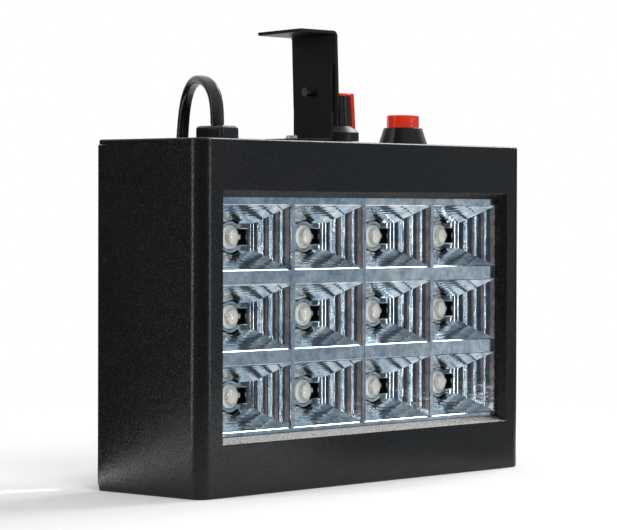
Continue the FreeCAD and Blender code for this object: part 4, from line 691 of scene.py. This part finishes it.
class STROBE_OT_stage(bpy.types.Operator):
    """Add the camera, the white studio and its lamps"""

    bl_idname = "strobe.stage"
    bl_label = "Stage"

    def execute(self, context):
        stage = context.scene.strobe.stage
        context.scene.view_settings.view_transform = "Standard"
        self.camera(context.scene, stage)
        self.world(context.scene, stage)
        self.floor(stage)
        for lamp in LAMPS:
            softbox(*lamp)
        for row in CARDS:
            card(*row)
        return {"FINISHED"}

    def camera(self, scene, stage):
        """A camera by its heading, its pitch below the level and its roll."""
        heading, down, roll = stage.heading, stage.down, stage.roll
        ahead = Vector((math.sin(heading) * math.cos(down), math.cos(heading) * math.cos(down),
                        -math.sin(down)))
        level = Vector((math.cos(heading), -math.sin(heading), 0))
        upright = level.cross(ahead)
        right = level * math.cos(roll) + upright * math.sin(roll)
        up = upright * math.cos(roll) - level * math.sin(roll)
        lens = bpy.data.cameras.new("camera")
        lens.sensor_width = 36
        lens.lens = stage.lens
        lens.clip_start, lens.clip_end = 0.05, 50
        made = bpy.data.objects.new("camera", lens)
        turn = Matrix((right, up, -ahead)).transposed().to_4x4()
        made.matrix_world = Matrix.Translation(stage.place) @ turn
        scene.collection.objects.link(made)
        scene.camera = made

    def world(self, scene, stage):
        """Soft grey light all round, and plain white for whatever looks at the background."""
        scene.world = bpy.data.worlds.new("studio")
        scene.world.use_nodes = True
        scene.world.node_tree.nodes.clear()
        made = Finish(scene.world.node_tree)
        rays = [made.node("LightPath", {}, {}, ray)
                for ray in ("Is Camera Ray", "Is Glossy Ray", "Is Transmission Ray")]
        white = made.node("Math", {"operation": "MINIMUM"}, {0: rays[0] + rays[1] + rays[2], 1: 1.0})
        light = made.node("Background", {}, {"Color": (1, 1, 1, 1), "Strength": stage.ambient})
        seen = made.node("Background", {}, {"Color": (1, 1, 1, 1), "Strength": 1.0})
        both = made.node("MixShader", {}, {0: white, 1: light, 2: seen})
        end = made.tree.nodes.new("ShaderNodeOutputWorld")
        made.feed(end.inputs["Surface"], both)

    def floor(self, stage):
        """A pale disc that fades into the background away from the object."""
        bm = bmesh.new()
        bmesh.ops.create_circle(bm, cap_ends=True, segments=96, radius=stage.floor)
        made = placed("floor", bm)
        paper = finish("paper", Roughness=0.9, Specular_IOR_Level=0.1)
        dark, pale = [rgba([grey] * 3) for grey in (0.86, 0.88)]
        paper.feed(paper.shader["Base Color"], paper.mix(paper.noise(60, 3), dark, pale))
        away = paper.node("VectorMath", {"operation": "LENGTH"}, {0: paper.place()}, "Value")
        fade = paper.node("MapRange", {"interpolation_type": "SMOOTHSTEP"}, {
            "Value": away, "From Min": stage.fade_start, "From Max": stage.fade_end})
        seen = paper.node("Emission", {}, {"Color": (1, 1, 1, 1), "Strength": 1.0})
        nodes = paper.tree.nodes
        surface = Value(paper, nodes["Principled BSDF"].outputs[0])
        both = paper.node("MixShader", {}, {0: fade, 1: surface, 2: seen})
        paper.feed(nodes["Material Output"].inputs["Surface"], both)
        made.data.materials.append(paper.material)
        made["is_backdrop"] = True


# ---------------------------------------------------------------- mains lead

# The free lead's middle line in metres, and how far its wide side is turned from +X there.
ROUTE = [
    ((-0.0535, 0.0, 0.1271), -20), ((-0.0535, 0.0, 0.1360), -30), ((-0.0497, 0.0081, 0.1426), -12),
    ((-0.0441, 0.0199, 0.1442), 14), ((-0.0398, 0.0289, 0.1380), 4), ((-0.0385, 0.0320, 0.1235), -4),
    ((-0.0386, 0.0329, 0.1000), 0), ((-0.0374, 0.0330, 0.0680), 28), ((-0.0366, 0.0336, 0.0380), 62),
    ((-0.0356, 0.0340, 0.0175), 90), ((-0.0210, 0.0349, 0.0026), 90), ((0.0, 0.0336, 0.0025), 90),
    ((0.0240, 0.0325, 0.0030), 90),
]
# And from the coil to the plug.
ROUTE_END = [
    (0.0090, 0.0690, 0.0086), (0.0090, 0.0545, 0.0110), (0.0145, 0.0450, 0.0152), (0.0230, 0.0430, 0.0171),
    (0.0330, 0.0430, 0.0171),
]

# The coil's middle on the floor, its first bearing and how far it sweeps, in degrees.
COIL_MIDDLE = Vector((0.033, 0.061, 0))
COIL_START = -90
COIL_SWEEP = 2010
# Each turn's ring, 1 for the outer one, and its layer. It crosses to the next turn's in its last share.
COIL_TURNS = ((1, 0), (0, 0), (0, 1), (1, 1), (1, 2), (0, 2), (0, 2))
CROSSING = 0.22
# The turns wander in and out by this much, a little over three times a turn.
WANDER = 0.00018
WANDERS = 3.1


def coil(lead):
    """The turns between the two loose ends, anticlockwise seen from above."""
    rings = [lead.outer_turn if outer else lead.inner_turn for outer, layer in COIL_TURNS]
    layers = [layer for outer, layer in COIL_TURNS]
    for number in range(round(COIL_SWEEP / 360 * lead.turn_points)):
        turns = number / lead.turn_points
        whole = int(turns)
        share = smoothstep((turns - whole - (1 - CROSSING)) / CROSSING)
        radius = rings[whole] + (rings[whole + 1] - rings[whole]) * share
        layer = layers[whole] + (layers[whole + 1] - layers[whole]) * share
        way = math.radians(COIL_START + 360 * turns)
        radius += WANDER * math.sin(WANDERS * way)
        yield COIL_MIDDLE + Vector((math.cos(way) * radius, math.sin(way) * radius,
                                    lead.lowest + lead.layer * layer))


def smoothed(route):
    """The points of a smooth line drawn along control points."""
    curve = bpy.data.curves.new("route", "CURVE")
    curve.dimensions = "3D"
    spline = curve.splines.new("NURBS")
    spline.points.add(len(route) - 1)
    for point, place in zip(spline.points, route):
        point.co = (*place, 1)
    spline.order_u = 3
    spline.use_endpoint_u = True
    spline.resolution_u = 6
    line = bpy.data.objects.new("route", curve)
    bpy.context.scene.collection.objects.link(line)
    bpy.context.view_layer.update()
    mesh = bpy.data.meshes.new_from_object(line)
    points = [vert.co.copy() for vert in mesh.vertices]
    bpy.data.meshes.remove(mesh)
    bpy.data.objects.remove(line)
    bpy.data.curves.remove(curve)
    return points


def wide_sides(points, spans):
    """Which way the flat lead's wide side points: as ROUTE says where it is free, and level in the coil."""
    for number, point in enumerate(points):
        place = number / (len(points) - 1) * spans
        if place < len(ROUTE) - 3:
            low = int(place)
            turn = ROUTE[low][1] + (ROUTE[low + 1][1] - ROUTE[low][1]) * (place - low)
            yield Matrix.Rotation(math.radians(turn), 3, "Z") @ X
        else:
            ahead = points[min(number + 1, len(points) - 1)] - points[number - 1]
            yield Z.cross(ahead)


def flat_tube(points, sides, lead):
    """A flat section with round edges swept along points, its wide side along the given directions."""
    bm = bmesh.new()
    section = bmesh.ops.create_circle(bm, segments=16, radius=lead.thickness / 2)["verts"]
    for vert in section:
        vert.co.x += math.copysign((lead.width - lead.thickness) / 2, vert.co.x)
    poses = []
    for number, (point, side) in enumerate(zip(points, sides)):
        ahead = (points[min(number + 1, len(points) - 1)] - points[max(number - 1, 0)]).normalized()
        side = (side - ahead * side.dot(ahead)).normalized()
        turn = Matrix((side, ahead.cross(side), ahead)).transposed().to_4x4()
        poses.append(Matrix.Translation(point) @ turn)
    return swept(bm, poses)


class STROBE_OT_lead(bpy.types.Operator):
    """Lay the flat mains lead: loop, drop, coil and plug"""

    bl_idname = "strobe.lead"
    bl_label = "Mains lead"

    def execute(self, context):
        sizes = context.scene.strobe
        lead = sizes.lead
        route = [place for place, turn in ROUTE] + list(coil(lead)) + ROUTE_END
        points = smoothed(route)
        sides = wide_sides(points, len(route) - 2)
        tube = piece("flat_lead", flat_tube(points, sides, lead), "housing", "cord_pvc",
                     ("power_cord", "power_cord_coil", "power_cord_end"), 60)
        plug = self.plug(sizes.edges)
        tie = self.tie(lead, sizes.edges)
        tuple(ROUTE[0][0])
        return {"FINISHED"}

    def plug(self, edges):
        """The plug's body with softened edges."""
        bm = soften(from_node("plug_body"), edges.plug, 4, 20)
        return piece("plug_moulding", bm, "housing", "cord_pvc", ("plug_body",), 40)

    def tie(self, lead, edges):
        """A tape loop around the coil with its end lapped over."""
        low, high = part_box("cord_tie")
        thick = lead.tape
        bm = block(low + Vector((0, thick / 2, thick / 2)), high - Vector((0, thick / 2, thick)))
        ends = [face for face in bm.faces if abs(face.normal.x) > 0.5]
        bmesh.ops.delete(bm, geom=ends, context="FACES_ONLY")
        along = [edge for edge in bm.edges
                 if abs((edge.verts[0].co - edge.verts[1].co).normalized().x) > 0.5]
        bmesh.ops.bevel(bm, geom=along, offset=lead.tape_bend, offset_type="OFFSET", segments=5,
                        profile=0.5, affect="EDGES", material=-1)
        bmesh.ops.solidify(bm, geom=bm.faces, thickness=thick)
        inset = 3 * EASE
        lap = block((low.x + inset, high.y - lead.lap_end, high.z - EASE - thick),
                    (high.x - inset, high.y - lead.lap_start, high.z - EASE))
        whole = joined([bm, soften(lap, edges.tape)])
        return piece("tape_loop", whole, "housing", "tie_fabric", ("cord_tie",), 35)


# ---------------------------------------------------------------- light head

# The columns and rows of cells, counted from the middle of the light head.
COLUMNS = (-1.5, -0.5, 0.5, 1.5)
ROWS = (1, 0, -1)


def cells(cell, columns=COLUMNS):
    """The middle of each cell of some columns."""
    for column in columns:
        for row in ROWS:
            yield cell.middle_x + column * cell.pitch_x, cell.middle_z + row * cell.pitch_z


def from_axis(cell, point):
    """How far a point lies from the axis of the nearest cell."""
    return min(math.hypot(point.x - x, point.z - z) for x, z in cells(cell))


def scooped(share, mouth, floor, scoops, depth):
    """Half the width of a cell at a share of its depth, where its walls are scooped out."""
    part = share * scoops % 1
    return (mouth + (floor - mouth) * share) / 2 + depth * 4 * part * (1 - part)


def hollow(cell, x, z):
    """The hollow of one cell, as rectangles that go down from its mouth to its floor."""
    deep = cell.floor_plane + cell.skin - cell.mouth_plane
    slices = 60
    outside = 0.001
    half_x, half_z = cell.mouth_x / 2 + cell.skin, cell.mouth_z / 2 + cell.skin
    sections = [(-outside, half_x + cell.lip, half_z + cell.lip)]
    # The rounded lip, as shares of its depth and of its width.
    for share, flare in ((0.0, 1.0), (0.1, 0.55), (0.35, 0.2)):
        sections.append((share * 2 * cell.lip, half_x + cell.lip * flare, half_z + cell.lip * flare))
    for number in range(2, slices + 1):
        share = number / slices
        sections.append((
            share * deep,
            cell.skin + scooped(share, cell.mouth_x, cell.floor_x, cell.flutes, cell.flute_depth),
            cell.skin + scooped(share, cell.mouth_z, cell.floor_z, cell.ripples, cell.ripple_depth),
        ))
    return swept(square_ring(), [
        Matrix.Translation((x, cell.mouth_plane + depth, z)) @ Matrix.Diagonal((across, 1, up, 1))
        for depth, across, up in sections])


def eased_slot(cell, x, z):
    """What the chamfer takes off the edge of a lead slot."""
    ease, floor = cell.chamfer, cell.floor_plane + cell.skin
    return swept(square_ring(), [
        Matrix.Translation((x, floor + depth, z))
        @ Matrix.Diagonal((cell.slot_x / 2 + wider, 1, cell.slot_z / 2 + wider, 1))
        for depth, wider in ((-ease, 2 * ease), (ease, 0))])


def ribs(cell, columns):
    """The raised ribs between two columns of cells and along their outer sides."""
    edge = bpy.context.scene.strobe.edges.rib
    half = cell.rib / 2
    reach = cell.mouth_z / 2 + cell.pitch_z
    for step in (min(columns) - 0.5, sum(columns) / 2, max(columns) + 0.5):
        x = cell.middle_x + step * cell.pitch_x
        low, high = x - half, x + half
        if step == 0:
            # The two reflectors meet here, so each has its own half.
            inward = math.copysign(EASE, sum(columns))
            low, high = sorted((x + inward, x + math.copysign(half, inward)))
        yield soften(block((low, cell.mouth_plane - cell.rib_rise, cell.middle_z - reach),
                           (high, cell.mouth_plane + EASE, cell.middle_z + reach)), edge)


class STROBE_OT_reflectors(bpy.types.Operator):
    """Flute the walls of the chromed reflector cells"""

    bl_idname = "strobe.reflectors"
    bl_label = "Reflectors"

    def execute(self, context):
        cell = context.scene.strobe.cell
        for side, columns in (("left", COLUMNS[:2]), ("right", COLUMNS[2:])):
            node = "reflector_" + side
            bm = merged(node)
            for tool in (hollow, eased_slot):
                bm = carved(bm, joined([tool(cell, x, z) for x, z in cells(cell, columns)]))
            # The upright faces of the round recesses get the second finish, a near-black painted shade for
            # the dark reflections in them.
            for face in bm.faces:
                upright = abs(face.normal.y) < 0.1
                off_recess = abs(from_axis(cell, face.calc_center_median()) - cell.recess)
                if upright and off_recess < 1.2 * EASE:
                    face.material_index = 1
            bm = joined([bm, *ribs(cell, columns)])
            # Near-black plastic that paints shade on the recess walls.
            recess_shade = moulded("painted_shade_plastic_" + side, (0.004, 0.004, 0.0045), 0.4, 2000, 0.00002)
            piece("fluted_" + node, bm, "housing", "reflector_chrome", (node,), 13, [recess_shade])
        return {"FINISHED"}


class STROBE_OT_emitters(bpy.types.Operator):
    """Make the emitters' stepped bodies and clear domes"""

    bl_idname = "strobe.emitters"
    bl_label = "Emitters"

    def execute(self, context):
        cell = context.scene.strobe.cell
        front, back = [corner.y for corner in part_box("led_emitters")]
        facing = Matrix.Rotation(math.radians(90), 3, "X")
        rim, lens, chip, deep = cell.emitter, cell.lens, cell.chip, back - front
        rise, fall = cell.shoulder, cell.groove
        body = [
            (0, -deep), (rim, -deep), (rim, -EASE), (rim - EASE, 0), (rim - 1.8 * EASE, 0.3 * EASE),
            (lens + 2.2 * EASE, rise), (lens + 1.2 * EASE, rise), (lens + 0.8 * EASE, rise - fall),
            (lens - 0.8 * EASE, rise - fall), (lens - EASE, rise - 0.5 * EASE),
            (chip + 2 * EASE, rise - 3 * EASE), (chip, rise - 4 * EASE), (0, rise - 4 * EASE),
        ]
        bulge = [(0, rise - 1.2 * EASE), (lens - 1.2 * EASE, rise - 0.2 * EASE),
                 (lens - 1.4 * EASE, rise + 1.2 * EASE)]
        steps = 12
        for number in range(1, steps + 1):
            way = math.radians(90) * number / steps
            bulge.append((cell.dome * math.cos(way), rise + 2 * EASE + cell.dome_rise * math.sin(way)))
        bulge[-1] = (0, bulge[-1][1])
        bodies, domes = [], []
        for x, z in cells(cell):
            bodies.append(turned(body, (x, front, z), facing, 40))
            domes.append(turned(bulge, (x, front, z), facing, 32))
        whole = joined(bodies)
        for face in whole.faces:
            middle = face.calc_center_median()
            reach = from_axis(cell, middle)
            if reach < chip + EASE and middle.y < front:
                face.material_index = 1
            elif abs(reach - lens) < EASE and middle.y < front:
                face.material_index = 2
        tan = emitter_plastic("tan_groove", (0.42, 0.38, 0.3))
        piece("emitter_bodies", whole, "housing", "emitter_body", ("led_emitters",),
              extra=[phosphor("phosphor"), tan])
        piece("emitter_domes", joined(domes), "housing", "emitter_lens", ("led_lenses",))
        return {"FINISHED"}


# ---------------------------------------------------------------- top of the housing


class STROBE_OT_strain_relief(bpy.types.Operator):
    """Make the six-sided strain relief and its locking wedge"""

    bl_idname = "strobe.strain_relief"
    bl_label = "Strain relief"

    def execute(self, context):
        sizes = context.scene.strobe.relief
        lead = context.scene.strobe.lead
        low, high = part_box("bushing_body")
        axis = (low + high) / 2
        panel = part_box("front_shell")[1].z
        head_height = high.z - panel

        shank = from_node("bushing_body")
        cut = bmesh.ops.bisect_plane(shank, geom=shank.verts[:] + shank.edges[:] + shank.faces[:],
                                     plane_co=(0, 0, panel), plane_no=Z, clear_outer=True)["geom_cut"]
        bmesh.ops.holes_fill(shank, edges=[item for item in cut if isinstance(item, bmesh.types.BMEdge)])

        head = bmesh.new()
        bmesh.ops.create_cone(
            head, cap_ends=True, segments=6, radius1=sizes.corner, radius2=sizes.corner,
            depth=head_height,
            matrix=Matrix.Translation((axis.x, axis.y, panel + head_height / 2))
            @ Matrix.Rotation(sizes.turn - math.radians(90), 4, "Z"))
        soften(head, sizes.edge, 4, 30, lambda co: co.z > panel + sizes.foot)

        # A channel for the lead, and in front of it a notch for the locking wedge.
        beyond = 0.001
        half = sizes.lock_width / 2
        near, far = [axis.y + way * (lead.thickness / 2 + EASE) for way in (-1, 1)]
        wedge_low = Vector((axis.x - half, near - sizes.lock_depth, panel))
        wedge_high = Vector((axis.x + half, near, high.z + EASE))
        gap = Vector((1.2 * EASE, 1.2 * EASE, beyond))
        channel = block((axis.x - lead.width / 2 - EASE, near, panel - beyond),
                        (axis.x + lead.width / 2 + EASE, far, high.z + beyond))
        notch = block(wedge_low - gap - Y * 4 * beyond, wedge_high + gap)
        head = carved(carved(head, notch), channel)
        piece("relief_body", joined([shank, head]), "housing", "bushing_nylon", ("bushing_body",), 35)

        lobe = soften(block(wedge_low, wedge_high), sizes.lock_edge, 5, 30)
        stem_low, stem_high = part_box("bushing_wedge")
        stem = block(stem_low, (stem_high.x, stem_high.y, panel + 2 * beyond))
        piece("relief_wedge", joined([lobe, stem]), "housing", "bushing_nylon", ("bushing_wedge",), 35)
        return {"FINISHED"}


class STROBE_OT_controls(bpy.types.Operator):
    """Soften the push button's collar and the knob's cap"""

    bl_idname = "strobe.controls"
    bl_label = "Knob and button"

    def execute(self, context):
        edges = context.scene.strobe.edges
        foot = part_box("front_shell")[1].z + edges.collar_foot
        collar = soften(from_node("button_body"), edges.collar, 3, 40, lambda co: co.z > foot)
        piece("button_collar", collar, "housing", "button_plastic", ("button_body",))
        cap = soften(from_node("knob_cap"), edges.knob_cap, 4, 30)
        piece("knob_top", cap, "knob", "red_plastic", ("knob_cap",))
        return {"FINISHED"}


class STROBE_OT_bracket(bpy.types.Operator):
    """Ease the edges of the bracket's steel"""

    bl_idname = "strobe.bracket"
    bl_label = "Bracket"

    def execute(self, context):
        edge = context.scene.strobe.edges.bracket
        for node, body in (("bracket_lower", "bracket_foot"), ("bracket_upper", "bracket_arm")):
            steel = soften(from_node(node), edge, over=40)
            piece("painted_" + node, steel, body, "bracket_steel", (node,))
        return {"FINISHED"}


# Pieces whose finish differs from that of the others in their slot.
OWN_FINISH = {
    "led_board": "dark_laminate",
    "pivot_screw": "blued",
    "pivot_washer": "blued",
    "foot_screw": "dark_nickel",
}


class STROBE_OT_carried_over(bpy.types.Operator):
    """Give each piece whose shape stays its finish"""

    bl_idname = "strobe.carried_over"
    bl_label = "Other pieces"

    def execute(self, context):
        for name, node in NODES.items():
            for number, slot in enumerate(node.material_slots):
                kind = slot.name.split(".")[0]
                if kind not in FINISHES:
                    raise RuntimeError("%s has no finish for %s" % (name, kind))
                node.data.materials[number] = FINISHES[OWN_FINISH.get(name, kind)]
        return {"FINISHED"}


# ---------------------------------------------------------------- panel and order


class STROBE_PT_panel(bpy.types.Panel):
    """Buttons for each group of pieces"""

    bl_label = "Stroboscope"
    bl_idname = "STROBE_PT_panel"
    bl_space_type = "VIEW_3D"
    bl_region_type = "UI"
    bl_category = "Stroboscope"

    def draw(self, context):
        for operator in OPERATORS:
            self.layout.operator(operator.bl_idname)


GROUPS = (LeadSizes, CellSizes, ReliefSizes, EdgeSizes, Colours, StageSizes, Strobe)
OPERATORS = (
    STROBE_OT_stage, STROBE_OT_lead, STROBE_OT_reflectors, STROBE_OT_emitters, STROBE_OT_strain_relief,
    STROBE_OT_controls, STROBE_OT_bracket, STROBE_OT_carried_over,
)


def register():
    for kind in (*GROUPS, *OPERATORS, STROBE_PT_panel):
        bpy.utils.register_class(kind)
    bpy.types.Scene.strobe = PointerProperty(type=Strobe)


def unregister():
    del bpy.types.Scene.strobe
    for kind in reversed((*GROUPS, *OPERATORS, STROBE_PT_panel)):
        bpy.utils.unregister_class(kind)


def main():
    register()
    FINISHES.update(finishes())
    for operator in OPERATORS:
        group, name = operator.bl_idname.split(".")
        getattr(getattr(bpy.ops, group), name)()
    sizes = {"cad_box": CAD_BOX, "visual_box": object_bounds()}
    {name: [list(corner) for corner in box] for name, box in sizes.items()}


if __name__ == "__main__":
    main()
